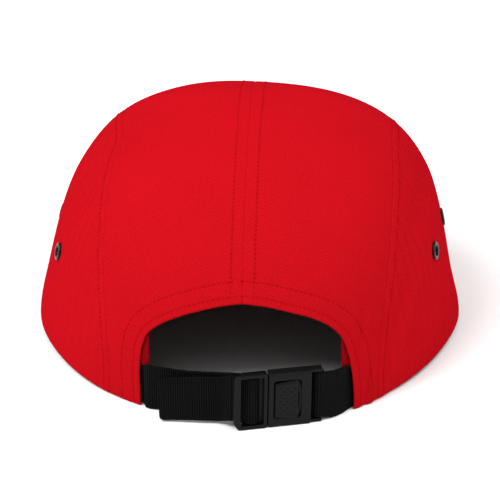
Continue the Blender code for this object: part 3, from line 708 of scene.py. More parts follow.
def outward_quads(points, rows, columns):
    """Quads of a crown grid turned so that they face away from the middle of the head."""
    quads = quads_of(rows, columns)
    flat = points.reshape(-1, 3)
    corner = flat[quads]
    normals = np.cross(corner[:, 2] - corner[:, 0], corner[:, 3] - corner[:, 1])
    middle = (0.0, 0.0, 0.3 * sizes().crown_height)
    if np.sum(normals * (corner.mean(axis=1) - middle)) < 0.0:
        quads = quads[:, ::-1]
    return quads


def sheet_piece(name, plan, depth, wall, look, replaces=(), weave=wall_weave, values=None, inner=None):
    """Sheet at a depth under the folded crown, with its wall inwards and a material for its inner face."""
    points = crown_point(plan, depth)
    quads = outward_quads(points, *plan.shape[:2])
    item = make_piece(name, rested(points), quads, look, replaces, weave(plan), values, 60.0)
    if inner is not None:
        item.data.materials.append(inner)
    return thicken(item, wall, len(item.data.materials) - 1)


def cloth_piece(name, plan, relief, weave, look, values, node):
    """Panel: the folded crown raised by its relief."""
    return sheet_piece(name, plan, -relief, sizes().cloth, look, (node,), weave, values,
                       shaded_inner_cloth())


def shaded_inner_cloth():
    """Inner face of the cloth, dimmed to a deeper red as painted shade inside the crown."""
    return material_once("red_twill_inner", red_twill, STRIP_WALE, (), INNER_SHADE_SHARE)


def sewing(name, lines, depth):
    """Rows of stitches: each is a thin tube that rises out of the cloth and dips back into it."""
    rows = [stitches_along(crown_point(line, depth), facing(crown_folded, line)) for line in lines]
    return stitch_piece(name, np.concatenate(rows))


def stitches_along(points, normals, rings=5, sides=6):
    """Tubes along a line: the covered share of each stitch length is thread, arched by a half sine."""
    walked = walked_lengths(points)
    length = sizes().stitch
    count = max(int(walked[-1] / length), 1)
    part = np.linspace(0.0, 1.0, rings)
    start = (1.0 - STITCH_COVER) / 2.0
    place = (np.arange(count)[:, None] + start + STITCH_COVER * part[None]) * (walked[-1] / count)
    middle = np.stack([np.interp(place, walked, points[:, k]) for k in range(3)], axis=-1)
    up = np.stack([np.interp(place, walked, normals[:, k]) for k in range(3)], axis=-1)
    up /= np.linalg.norm(up, axis=-1, keepdims=True)
    run = middle[:, -1:] - middle[:, :1]
    run = run / np.linalg.norm(run, axis=-1, keepdims=True)
    aside = np.cross(np.broadcast_to(run, up.shape), up)
    radius = sizes().thread
    middle = middle + up * (radius * (1.1 * np.sin(part * math.pi) - 0.5))[None, :, None]
    swell = radius * (0.12 + 0.88 * np.sin(part * math.pi) ** 0.4)
    turn = np.linspace(0.0, 2.0 * math.pi, sides, endpoint=False)
    return (
        middle[:, :, None]
        + (aside[:, :, None] * np.cos(turn)[None, None, :, None]
           + up[:, :, None] * np.sin(turn)[None, None, :, None]) * swell[None, :, None, None]
    )


def stitch_piece(name, tubes):
    """Mesh of all the tubes of a group of rows in red thread, closed at their ends."""
    count, rings, sides = tubes.shape[:3]
    quads = quads_of(rings, sides, closed_columns=True)
    caps = np.array([[0, 5, 4, 3], [0, 3, 2, 1]])
    far = (rings - 1) * sides + np.array([[0, 1, 2, 3], [0, 3, 4, 5]])
    one = np.concatenate([quads[:, ::-1], caps[:, ::-1], far[:, ::-1]])
    faces = (one[None] + (np.arange(count) * rings * sides)[:, None, None]).reshape(-1, 4)
    look = material_once("red_thread", sewing_thread)
    return make_piece(name, rested(tubes.reshape(-1, 3)), faces, look, sharp=80.0)


# Shader groups and materials

def new_group(name, inputs, outputs):
    """Empty shader node group: inputs by name with a default, or None for a vector, and float outputs."""
    group = bpy.data.node_groups.new(name, "ShaderNodeTree")
    for label, default in inputs.items():
        kind = "NodeSocketVector" if default is None else "NodeSocketFloat"
        socket = group.interface.new_socket(label, in_out="INPUT", socket_type=kind)
        if default is not None:
            socket.default_value = default
    for label in outputs:
        group.interface.new_socket(label, in_out="OUTPUT", socket_type="NodeSocketFloat")
    return group, group.nodes.new("NodeGroupInput").outputs, group.nodes.new("NodeGroupOutput").inputs


def feed(tree, socket, value):
    """Set an input to a number or a colour, or link it to a socket."""
    if isinstance(value, bpy.types.NodeSocket):
        tree.links.new(value, socket)
    else:
        socket.default_value = value if isinstance(value, (int, float)) else tuple(value)


def math_node(tree, operation, *values, clamp=False):
    """Math node whose inputs are numbers or sockets."""
    node = tree.nodes.new("ShaderNodeMath")
    node.operation = operation
    node.use_clamp = clamp
    for socket, value in zip(node.inputs, values):
        feed(tree, socket, value)
    return node.outputs[0]


def phase(tree, value, length):
    """Angle of a wave: the value times a full turn, over the wave's length."""
    return math_node(tree, "DIVIDE", math_node(tree, "MULTIPLY", value, 2.0 * math.pi), length)


def split_vector(tree, vector):
    node = tree.nodes.new("ShaderNodeSeparateXYZ")
    tree.links.new(vector, node.inputs[0])
    return node.outputs


def noise_node(tree, vector, scale, detail=2.0, roughness=0.5):
    node = tree.nodes.new("ShaderNodeTexNoise")
    for key, value in (("Vector", vector), ("Scale", scale), ("Detail", detail), ("Roughness", roughness)):
        feed(tree, node.inputs[key], value)
    return node.outputs["Fac"]


def mix_colour(tree, factor, first, second, blend="MIX"):
    """Mix of two colours, each a value or a socket."""
    node = tree.nodes.new("ShaderNodeMix")
    node.data_type = "RGBA"
    node.blend_type = blend
    for index, value in ((0, factor), (6, first), (7, second)):
        feed(tree, node.inputs[index], value)
    return node.outputs[2]


def twill_group():
    """Twill: two crossed sine waves over the weave map, the first the stronger, with thread noise."""
    inputs = {"Vector": None, "Across": 0.00098, "Along": 0.00155, "Lead": 0.62}
    group, given, made = new_group("twill_weave", inputs, ("Rib", "Height", "Tone"))
    calc = partial(math_node, group)
    place = split_vector(group, given["Vector"])
    wobble = noise_node(group, given["Vector"], 260.0)
    across = phase(group, place[0], given["Across"])
    along = calc("MULTIPLY_ADD", wobble, 1.6, phase(group, place[1], given["Along"]))
    falling = calc("SINE", calc("ADD", across, along))
    rising = calc("SINE", calc("SUBTRACT", across, along))
    rest = calc("MULTIPLY", rising, calc("SUBTRACT", 1.0, given["Lead"]))
    wave = calc("MULTIPLY_ADD", falling, given["Lead"], rest)
    rib = calc("MULTIPLY_ADD", wave, 0.5, 0.5)
    slub = noise_node(group, given["Vector"], 900.0, 3.0, 0.6)
    cloud = noise_node(group, given["Vector"], 34.0, 3.0, 0.55)
    tone = calc("MULTIPLY_ADD", cloud, 0.12, calc("MULTIPLY_ADD", slub, 0.14, 0.87))
    feed(group, made["Rib"], rib)
    feed(group, made["Height"], calc("MULTIPLY_ADD", slub, 0.35, rib))
    feed(group, made["Tone"], tone)
    return group


def row_group():
    """Stitch row: one where the gap to a seam equals the row, falling to nought over the width."""
    group, given, made = new_group("stitch_row", {"Gap": 1.0, "Row": 0.003, "Width": 0.0006}, ("Mask",))
    calc = partial(math_node, group)
    off = calc("DIVIDE", calc("SUBTRACT", given["Gap"], given["Row"]), given["Width"])
    mask = calc("SUBTRACT", 1.0, calc("MULTIPLY", off, off), clamp=True)
    feed(group, made["Mask"], mask)
    return group


def grain_group():
    """Grain: fine and coarse noise over the object, for moulded plastic and lacquer."""
    group, given, made = new_group("fine_grain", {"Vector": None, "Scale": 2600.0}, ("Height", "Cloud"))
    feed(group, made["Height"], noise_node(group, given["Vector"], given["Scale"]))
    feed(group, made["Cloud"], noise_node(group, given["Vector"], 120.0, 4.0, 0.6))
    return group


def webbing_group():
    """Webbing: ribs across the strap, crossed by finer warp threads, as products of two sines."""
    inputs = {"Vector": None, "Rib": 0.00098, "Warp": 0.00095}
    group, given, made = new_group("webbing_weave", inputs, ("Height", "Tone"))
    calc = partial(math_node, group)
    place = split_vector(group, given["Vector"])
    up = phase(group, place[1], given["Warp"])
    half = calc("MULTIPLY", phase(group, place[0], given["Rib"]), 0.5)
    first = calc("MULTIPLY_ADD", calc("SINE", up), 0.5, 0.5)
    second = calc("MULTIPLY_ADD", calc("SINE", calc("ADD", up, half)), 0.5, 0.5)
    rib = calc("ABSOLUTE", calc("SINE", half))
    knots = calc("MULTIPLY", calc("MULTIPLY_ADD", first, 0.4, 0.6), calc("MULTIPLY_ADD", second, 0.5, 0.5))
    height = calc("MULTIPLY", rib, knots)
    fibre = noise_node(group, given["Vector"], 1500.0, 3.0, 0.6)
    base = calc("MULTIPLY_ADD", fibre, 0.3, -0.22)
    feed(group, made["Height"], calc("MULTIPLY_ADD", fibre, 0.25, height))
    # Tone follows the weave's height: painted light on the raised knots, painted shade where the weave sinks, with
    # fibre noise
    feed(group, made["Tone"], calc("MULTIPLY_ADD", height, 1.5, base, clamp=True))
    return group


def place_group(tree, name, build, **values):
    """Node of a shared group in a material, with its values or links set by socket name."""
    node = tree.nodes.new("ShaderNodeGroup")
    node.node_tree = bpy.data.node_groups.get(name) or build()
    for key, value in values.items():
        feed(tree, node.inputs[key], value)
    return node.outputs


def new_material(name):
    look = bpy.data.materials.new(name)
    look.use_nodes = True
    return look, look.node_tree, look.node_tree.nodes["Principled BSDF"]


def weave_map(tree):
    node = tree.nodes.new("ShaderNodeUVMap")
    node.uv_map = "weave"
    return node.outputs[0]


def point_value(tree, name):
    node = tree.nodes.new("ShaderNodeAttribute")
    node.attribute_name = name
    return node.outputs["Fac"]


def object_place(tree):
    return tree.nodes.new("ShaderNodeTexCoord").outputs["Object"]


def bump(tree, height, distance, strength, normal=None):
    node = tree.nodes.new("ShaderNodeBump")
    node.inputs["Distance"].default_value = distance
    node.inputs["Strength"].default_value = strength
    tree.links.new(height, node.inputs["Height"])
    if normal is not None:
        tree.links.new(normal, node.inputs["Normal"])
    return node.outputs[0]


def dimmed(colour, share):
    """Opaque colour at a share of its brightness."""
    return tuple(share * c for c in colour[:3]) + (1.0,)


def surface(tree, shader, colour, roughness, specular, normal=None):
    """Colour, roughness, specular level and normal of a material, each a value or a socket."""
    feed(tree, shader.inputs["Base Color"], colour)
    feed(tree, shader.inputs["Roughness"], roughness)
    feed(tree, shader.inputs["Specular IOR Level"], specular)
    if normal is not None:
        feed(tree, shader.inputs["Normal"], normal)


def woven_colour(tree, weave, dark, lit):
    """Ribs and furrows in two colours, painted light on the ribs and painted shade in the furrows, toned by the
    weave's clouds.
    """
    grey = tree.nodes.new("ShaderNodeCombineColor")
    for channel in grey.inputs:
        feed(tree, channel, weave["Tone"])
    return mix_colour(tree, 1.0, mix_colour(tree, weave["Rib"], dark, lit), grey.outputs[0], "MULTIPLY")


def red_twill(name, wale, rows=(), share=1.0):
    """Red cotton twill: painted light on its ribs and painted shade in their furrows, cloudy dye, and painted shade
    in the dips along the stitch rows.
    """
    look, tree, shader = new_material(name)
    shade = colours().cloth_shade
    weave = place_group(tree, "twill_weave", twill_group, Vector=weave_map(tree), Across=wale[0], Along=wale[1])
    # A share below one dims the twill as painted shade, on the cloth's inner face and on the arch facing
    colour = woven_colour(tree, weave, dimmed(shade, share), dimmed(colours().cloth, share))
    normal = bump(tree, weave["Height"], 0.00016, 0.9)
    mask = 0.0
    for key, row in rows:
        found = place_group(tree, "stitch_row", row_group, Gap=point_value(tree, key), Row=row, Width=ROW_WIDTH)
        mask = math_node(tree, "MAXIMUM", mask, found["Mask"])
    if rows:
        # Painted shade in the dips along the stitch rows
        dip_shade = (shade[0] * 0.4, 0.0008, 0.0018, 1.0)
        colour = mix_colour(tree, math_node(tree, "MULTIPLY", mask, 0.06), colour, dip_shade)
        normal = bump(tree, math_node(tree, "SUBTRACT", 1.0, mask), 0.00020, 0.35, normal)
    surface(tree, shader, colour, 0.88, 0.0, normal)
    shader.inputs["Sheen Weight"].default_value = 0.14 * share
    shader.inputs["Sheen Roughness"].default_value = 0.4
    shader.inputs["Sheen Tint"].default_value = (1.0, 0.018, 0.055, 1.0)
    return look


def black_lining(name):
    """Black cotton: a finer twill with little contrast."""
    look, tree, shader = new_material(name)
    weave = place_group(tree, "twill_weave", twill_group, Vector=weave_map(tree), Across=0.0009, Along=0.0013)
    # Ribs and furrows of the black twill: painted light and painted shade
    colour = woven_colour(tree, weave, dimmed(colours().lining, 0.55), colours().lining)
    surface(tree, shader, colour, 0.92, 0.08, bump(tree, weave["Height"], 0.00015, 0.7))
    return look


def black_webbing(name):
    """Black nylon webbing: painted light on the raised knots and painted shade where the weave sinks."""
    look, tree, shader = new_material(name)
    weave = place_group(tree, "webbing_weave", webbing_group, Vector=weave_map(tree), Rib=sizes().rib)
    colour = mix_colour(tree, weave["Tone"], dimmed(colours().webbing, 0.05), dimmed(colours().webbing, 4.6))
    rough = math_node(tree, "MULTIPLY_ADD", weave["Tone"], -0.12, 0.74)
    surface(tree, shader, colour, rough, 0.04, bump(tree, weave["Height"], 0.00030, 1.0))
    return look


def moulded_plastic(name):
    """Black moulded plastic: fine spark grain and cloudy sheen, with painted shade in the button's pits."""
    look, tree, shader = new_material(name)
    grain = place_group(tree, "fine_grain", grain_group, Vector=object_place(tree), Scale=2400.0)
    cloudy = mix_colour(tree, grain["Cloud"], colours().plastic, dimmed(colours().plastic, 1.35))
    # Painted shade: near black in the button's pits
    colour = mix_colour(tree, point_value(tree, "pit"), cloudy, (0.0002, 0.0002, 0.0002, 1.0))
    rough = math_node(tree, "MULTIPLY_ADD", grain["Cloud"], 0.14, 0.40)
    surface(tree, shader, colour, rough, 0.12, bump(tree, grain["Height"], 0.00006, 0.5))
    return look


def lacquered_metal(name):
    """Black lacquered metal: glossy, with faint bare metal where the lacquer is thin."""
    look, tree, shader = new_material(name)
    grain = place_group(tree, "fine_grain", grain_group, Vector=object_place(tree), Scale=900.0)
    thin = math_node(tree, "MULTIPLY_ADD", grain["Cloud"], 3.0, -1.75, clamp=True)
    colour = mix_colour(tree, thin, colours().metal, colours().worn_metal)
    rough = math_node(tree, "MULTIPLY_ADD", grain["Cloud"], 0.2, 0.22)
    surface(tree, shader, colour, rough, 0.25, bump(tree, grain["Height"], 0.00003, 0.4))
    shader.inputs["Metallic"].default_value = 0.6
    return look


def sewing_thread(name):
    """Sewing thread: a plied strand, its plies drawn by noise over the object."""
    look, tree, shader = new_material(name)
    ply = noise_node(tree, object_place(tree), 2200.0)
    colour = mix_colour(tree, ply, dimmed(colours().thread, 0.85), colours().thread)
    surface(tree, shader, colour, 0.7, 0.0, bump(tree, ply, 0.00005, 0.6))
    return look


def painted_floor(name):
    """Pale studio floor with the faintest mottling."""
    look, tree, shader = new_material(name)
    cloud = noise_node(tree, object_place(tree), 3.0)
    colour = mix_colour(tree, cloud, (0.905, 0.905, 0.905, 1.0), (0.925, 0.925, 0.925, 1.0))
    surface(tree, shader, colour, 0.95, 0.0)
    return look


def material_once(name, build, *values):
    return bpy.data.materials.get(name) or build(name, *values)


# Cloth pieces

def back_panel_plan(side):
    """Plan grid of a back strip: the block beside the arch, then the block up to the front panel."""
    across = shares_with_edges(58, 60.0 * MM)
    lower = shares_with_edges(64, 60.0 * MM, last=False)
    upper = shares_with_edges(96, 115.0 * MM, first=False)
    arch = arch_line(side, 1.0 - lower)
    outer_lower = side_seam(side, SEAM_AT_ARCH * lower)
    outer_upper = side_seam(side, SEAM_AT_ARCH + (1.0 - SEAM_AT_ARCH) * upper)
    between = arch[-1] + (outer_lower[-1] - arch[-1]) * across[:, None]
    hem = hem_line(hem_angle(arch[0]), hem_angle(outer_lower[0]), across)
    top = front_seam(0.5 + 0.5 * side * across)
    low_block = filled(hem, between, arch, outer_lower, across, lower)
    high_block = filled(between, top, centre_seam(upper), outer_upper, across, upper)
    return np.concatenate([low_block, high_block[1:]])


def back_panel(side, node):
    """Back strip with its doubled seams, rolled arch edge and hem."""
    plan = back_panel_plan(side)
    part = np.linspace(0.0, 1.0, 160)
    centre_gap, centre_run = gap_over(plan, [centre_seam(part)])
    side_gap = gap_over(plan, [side_seam(side, part), front_seam(0.5 + 0.5 * side * part)])[0]
    arch_gap, arch_run = gap_over(plan, [arch_line(side, part)])
    relief = sewn_relief(centre_gap, centre_run, CENTRE_ROW) + seam_groove(centre_gap) + seam_groove(side_gap)
    relief += sewn_relief(arch_gap, arch_run, ARCH_FAR_ROW, ARCH_LAYERS)
    relief -= rolled_edge(arch_gap) + hem_roll(plan)
    values = {"centre_gap": centre_gap, "arch_gap": arch_gap}
    rows = (("centre_gap", CENTRE_ROW), ("arch_gap", ARCH_NEAR_ROW), ("arch_gap", ARCH_FAR_ROW))
    look = material_once("red_twill_strip", red_twill, STRIP_WALE, rows)
    return cloth_piece(node + "_cloth", plan, relief, strip_weave, look, values, node)


def side_panel_plan(side):
    """Plan grid of a side panel between the hem, the side seam and the front panel."""
    along = shares_with_edges(150, 150.0 * MM)
    up = shares_with_edges(80, 80.0 * MM)
    rear = side_seam(side, SEAM_AT_BEND * up)
    top = side_seam(side, SEAM_AT_BEND + (1.0 - SEAM_AT_BEND) * along)
    front = front_side_seam(side, 1.0 - up)
    hem = hem_line(hem_angle(rear[0]), hem_angle(front[0]), along)
    return filled(hem, top, rear, front, along, up)


def side_panel(side, node):
    """Side panel with a topstitched seam and dimples round its eyelets."""
    plan = side_panel_plan(side)
    part = np.linspace(0.0, 1.0, 200)
    gap, run = gap_over(plan, [side_seam(side, part)])
    front_gap = gap_over(plan, [front_side_seam(side, part)])[0]
    relief = sewn_relief(gap, run, SIDE_ROW) + seam_groove(gap) + seam_groove(front_gap) - hem_roll(plan)
    points = crown_base(plan)
    for _, across, along in EYELETS:
        if across * side > 0.0:
            off = np.linalg.norm(points - crown_base(np.array((across, along))), axis=-1)
            relief -= DIMPLE_DEPTH * np.exp(-(off / DIMPLE_RADIUS) ** 2)
    look = material_once("red_twill_side", red_twill, SIDE_WALE, (("seam_gap", SIDE_ROW),))
    return cloth_piece(node + "_cloth", plan, relief, wall_weave, look, {"seam_gap": gap}, node)


def front_panel_plan():
    """Plan grid of the front panel between its side seams, the hem and the top seam."""
    across = shares_with_edges(150, 150.0 * MM)
    up = shares_with_edges(90, 95.0 * MM)
    left, right = (front_side_seam(side, 1.0 - up) for side in (-1.0, 1.0))
    hem = hem_line(hem_angle(left[0]), hem_angle(right[0]), across)
    return filled(hem, front_seam(across), left, right, across, up)


def front_panel():
    """Front panel, topstitched along its three seams."""
    plan = front_panel_plan()
    part = np.linspace(0.0, 1.0, 160)
    gap, run = gap_over(plan, [front_side_seam(-1.0, part), front_side_seam(1.0, part), front_seam(part)])
    relief = sewn_relief(gap, run, FRONT_ROW) + seam_groove(gap) - hem_roll(plan)
    look = material_once("red_twill_front", red_twill, STRIP_WALE, (("seam_gap", FRONT_ROW),))
    return cloth_piece("front_panel_cloth", plan, relief, wall_weave, look, {"seam_gap": gap}, "front_panel")


def arch_facing(side, name):
    """Facing behind the arch's upright edge: it stands into the opening as far as its own straight edge."""
    right = 1 if side > 0 else 0
    rows = np.array(ARCH_ROWS)[::-1]
    up = np.linspace(*FACING_RISE, 34)[:, None]
    edge = np.interp(up / sizes().arch_height, rows[:, 0], rows[:, 1 + right]) * sizes().arch_half_width
    straight = FACING_EDGE[right]
    across = np.linspace(0.0, 1.0, 18)[None]
    x = straight + (np.maximum(edge, straight) + FACING_LAP - straight) * across
    plan = rear_plan(side * x, np.broadcast_to(up, x.shape))
    # The facing's twill is dimmed as painted shade
    look = material_once("red_twill_facing", red_twill, STRIP_WALE, (), FACING_SHADE_SHARE)
    return sheet_piece(name, plan, sizes().cloth + 0.12 * MM, FACING_WALL, look)


def crown_sewing():
    """All topstitching of the crown in red thread."""
    part = np.linspace(0.0, 1.0, 220)
    ends = np.linspace(0.012, 0.988, 220)
    centre = centre_seam(ends)
    lines = [beside(centre, CENTRE_ROW), beside(centre, -CENTRE_ROW)]
    for side in (-1.0, 1.0):
        lines.append(beside(side_seam(side, ends), -side * SIDE_ROW))
        lines.append(beside(front_side_seam(side, ends), side * FRONT_ROW))
    lines.append(beside(front_seam(np.linspace(0.02, 0.98, 160)), FRONT_ROW))
    whole = np.concatenate([arch_line(-1.0, 1.0 - part)[:-1], arch_line(1.0, part)])
    whole = smooth_line(whole, np.linspace(0.006, 0.994, 400))
    lines += [beside(whole, ARCH_NEAR_ROW), beside(whole, ARCH_FAR_ROW)]
    return sewing("crown_topstitching", lines, -0.12 * MM)


# Inner pieces

def sweatband():
    """Black band inside the hem, padded by a half sine between its edges."""
    start, end = (hem_angle(rear_plan(arch_foot(side) + side * 2.0 * sizes().cloth, 0.0)) for side in (-1.0, 1.0))
    radius = np.arccos(np.linspace(0.0, BAND_HEIGHT, 34) / sizes().crown_height) * 2.0 / math.pi
    plan = radius[:, None, None] * hem_line(start, end, np.linspace(0.0, 1.0, 420))[None]
    pad = BAND_PAD * np.sin(np.linspace(0.0, 1.0, len(plan))[:, None] * math.pi) ** 0.5
    depth = sizes().cloth + sizes().webbing_wall + 2.0 * LAYER_GAP + pad
    look = material_once("black_cotton_lining", black_lining)
    return sheet_piece("sweatband_cloth", plan, depth, BAND_WALL, look, ("sweatband",))


def front_backing():
    """Black backing behind the front panel, a margin short of its seams."""
    plan = front_panel_plan()[10:-10:2, 10:-10:2]
    look = material_once("black_cotton_lining", black_lining)
    return sheet_piece("front_backing_cloth", plan, sizes().cloth + 0.5 * MM, BACKING_WALL, look,
                       ("front_backing",))


# Peak

def peak_out(share):
    """Reach of the peak at a share of its span, rounded towards its corners by a power curve."""
    rounded = np.sqrt(np.maximum(1.0 - np.abs(share) ** PEAK_ROUNDING, 0.0))
    return PEAK_CORNER + (sizes().peak_reach - PEAK_CORNER) * rounded


def peak_middle(share, out):
    """Middle face of the peak: out from the hem, dipping forwards and more so towards its sides."""
    angles = share * PEAK_SPAN
    right = np.sin(angles)
    front = np.cos(angles)
    level = np.zeros_like(angles)
    inner = oval(right, front, level) + np.stack([right, front, level], axis=-1) * FIT_GAP
    reach = peak_out(share)
    ahead = np.stack([0.5 * right, np.ones_like(right), level], axis=-1)
    ahead /= np.linalg.norm(ahead, axis=-1, keepdims=True)
    grid = inner + ahead * (reach * out)[..., None]
    far = reach * out / sizes().peak_reach
    grid[..., 2] -= PEAK_DECLINE * far + PEAK_CAMBER * (grid[..., 0] / peak_half_width()) ** 2 * far ** 0.8
    return grid


def peak_half_wall():
    """Half the peak's wall, a little thin so that its quilting stays clear of the floor."""
    return sizes().peak_wall / 2.0 - 0.25 * MM


def peak_half_width():
    angles = np.linspace(0.0, PEAK_SPAN, 60)
    right = np.sin(angles)
    edge = oval(right, np.cos(angles), np.zeros_like(angles))[:, 0] + right * FIT_GAP
    return (edge + peak_out(angles / PEAK_SPAN) * 0.5 * right / np.hypot(0.5 * right, 1.0)).max()


def peak_facing(share, out):
    """Unit normals of the peak's middle face, from central differences kept inside its ends."""
    step = 1e-3
    out = np.clip(out, 2.0 * step, 1.0 - 2.0 * step)
    across = peak_middle(share + step, out) - peak_middle(share - step, out)
    ahead = peak_middle(share, out + step) - peak_middle(share, out - step)
    normal = np.cross(across, ahead)
    return normal / np.linalg.norm(normal, axis=-1, keepdims=True)


def peak():
    """Covered peak: its top, a rounded rim and its underside in one closed surface round each cut."""
    half = peak_half_wall()
    steps = 60
    wide = math.pi / 2.0 * 0.985
    shares = np.sin(np.linspace(-wide, wide, 181)) / math.sin(wide) * 0.9985
    rim = np.linspace(-math.pi / 2.0, math.pi / 2.0, 9)[1:-1]
    flat = np.zeros(steps)
    out = np.concatenate([np.linspace(0.0, 1.0, steps), np.ones_like(rim), np.linspace(1.0, 0.0, steps)])
    lift = np.concatenate([flat + 1.0, np.sin(rim[::-1]), flat - 1.0])
    proud = np.concatenate([flat, np.cos(rim), flat])
    grid_share = np.broadcast_to(shares[:, None], (len(shares), len(out)))
    grid_out = np.broadcast_to(out[None], grid_share.shape)
    middle = peak_middle(grid_share, grid_out)
    normals = peak_facing(grid_share, grid_out)
    edge = peak_middle(shares, np.ones_like(shares)) - peak_middle(shares, np.full_like(shares, 0.98))
    edge /= np.linalg.norm(edge, axis=-1, keepdims=True)
    edge_gap = peak_out(grid_share) * (1.0 - grid_out)
    quilt = QUILT_DEPTH * np.cos(edge_gap / (6.0 * MM) * 2.0 * math.pi)
    quilt *= ramp(edge_gap, 2.0 * MM, 5.0 * MM) * (1.0 - ramp(edge_gap, 24.0 * MM, 28.0 * MM))
    lifted = lift[None] * half + np.sign(lift)[None] * quilt
    points = middle + normals * lifted[..., None] + edge[:, None] * (proud * half * 0.8)[None, :, None]
    faces = quads_of(*grid_share.shape, closed_columns=True)[:, ::-1].tolist() + end_caps(*grid_share.shape)
    look = material_once("red_twill_peak", red_twill, STRIP_WALE, tuple(("edge_gap", row) for row in PEAK_ROWS))
    return make_piece("peak_cloth", rested(points), faces, look, ("peak",), points[..., :2],
                      {"edge_gap": edge_gap}, 50.0, closed=True)


def peak_sewing():
    """Rows of topstitching that follow the peak's edge, on its top and its underside."""
    shares = np.linspace(-0.93, 0.93, 300)
    tubes = []
    for row in PEAK_ROWS:
        out = 1.0 - row / peak_out(shares)
        kept = out > 0.02
        for side in (1.0, -1.0):
            normal = peak_facing(shares[kept], out[kept]) * side
            line = peak_middle(shares[kept], out[kept]) + normal * (peak_half_wall() - 0.02 * MM)
            tubes.append(stitches_along(line, normal))
    return stitch_piece("peak_topstitching", np.concatenate(tubes))


# Eyelets

def crown_frame(across, along):
    """Frame on the crown's face with its z axis facing out."""
    plan = np.array((across, along))
    normal = Vector(facing(crown_folded, plan))
    turn = normal.to_track_quat("Z", "Y").to_matrix().to_4x4()
    return rest_matrix() @ Matrix.Translation(Vector(crown_point(plan))) @ turn


def eyelet(name, across, along):
    """Turned ring: the profile of a domed flange, a barrel and a rolled lip, carried round a circle."""
    sweep = np.linspace(0.15, 0.95, 9) * math.pi
    dome = np.stack([3.0 - np.cos(sweep), 0.12 + 0.72 * np.sin(sweep)], axis=-1)
    profile = np.concatenate([dome, EYELET_BORE[::-1]]) * MM
    turn = np.linspace(0.0, 2.0 * math.pi, 64, endpoint=False)
    radius, rise = profile[:, :1], profile[:, 1:]
    points = np.stack([radius * np.cos(turn), radius * np.sin(turn), rise + np.zeros(64)], axis=-1)
    look = material_once("black_lacquered_metal", lacquered_metal)
    faces = quads_of(len(profile), len(turn), True, True).tolist()
    return make_piece(name + "_ring", moved(points, crown_frame(across, along)), faces, look,
                      (name,), sharp=60.0, closed=True)


# Strap

def buckle_frame():
    """Frame of the buckle on the crown's rear face: x to the right, y inwards, z up."""
    place = rear_plan(BUCKLE_ACROSS, BUCKLE_RISE)
    inward = Vector(-facing(crown_folded, place))
    inward.z *= BUCKLE_LEAN
    inward.normalize()
    right = inward.cross(Vector((0.0, 0.0, 1.0))).normalized()
    up = right.cross(inward).normalized()
    turn = Matrix((right, inward, up)).transposed().to_4x4()
    pivot = Matrix.Translation((socket_left() + SOCKET_LENGTH, 0.0, 0.0))
    yawed = pivot @ Matrix.Rotation(BUCKLE_YAW, 4, "Z") @ pivot.inverted()
    pivot = Matrix.Translation((frame_left(), 0.0, 0.0))
    rolled = pivot @ Matrix.Rotation(BUCKLE_ROLL, 4, "Y") @ pivot.inverted()
    return Matrix.Translation(Vector(crown_point(place, -BUCKLE_STAND))) @ turn @ rolled @ yawed


def frame_left():
    return -(FRAME_LENGTH + SOCKET_LENGTH + ARM_LENGTH + LAYER_GAP) / 2.0


def socket_left():
    return frame_left() + FRAME_LENGTH + LAYER_GAP


def left_bar():
    return frame_left() + 0.51 * FRAME_LENGTH, 0.1 * INSERT_BACK


def end_bar():
    return socket_left() + SOCKET_LENGTH + ARM_LENGTH - BAR_RADIUS - 0.2 * RAIL, 0.4 * BUCKLE_BACK


def slot_half():
    return sizes().webbing_width / 2.0 + LAYER_GAP


def hidden_station(x, share):
    """Lower and upper edge of the webbing between the panel and the sweatband."""
    top = STRAP_RISE + share * sizes().webbing_width
    edges = rear_plan(np.array([x, x]), np.array([STRAP_RISE, top]))
    return crown_point(edges, sizes().cloth + 0.1 * MM + sizes().webbing_wall / 2.0).ravel()


def free_station(share, rise, low, high):
    """Lower and upper edge of the free webbing, each at its own distance outside the crown."""
    x = share * sizes().arch_half_width
    wall = sizes().webbing_wall
    width = sizes().webbing_width
    edges = crown_base(rear_plan(np.array([x, x]), np.array([rise * wall, rise * wall + width])))
    edges[:, 1] -= np.array([low, high]) * wall
    lean = edges[1, 1] - edges[0, 1]
    edges[1, 2] = edges[0, 2] + math.sqrt(width ** 2 - lean ** 2)
    return edges.ravel()


def buckle_station(x, y, drop=0.0):
    """Lower and upper edge of the webbing at a place in the buckle's frame."""
    half = sizes().webbing_width / 2.0
    return moved(np.array([(x, y, -half - drop), (x, y, half - drop)]), buckle_frame()).ravel()


def round_bar(centre_x, centre_y, start, end, steps=10):
    """Stations of the webbing round a bar, at the radius of the webbing's middle."""
    reach = BAR_RADIUS + FIT_GAP + sizes().webbing_wall / 2.0
    angles = np.radians(np.linspace(start, end, steps))
    return [buckle_station(centre_x + reach * math.cos(a), centre_y + reach * math.sin(a)) for a in angles]


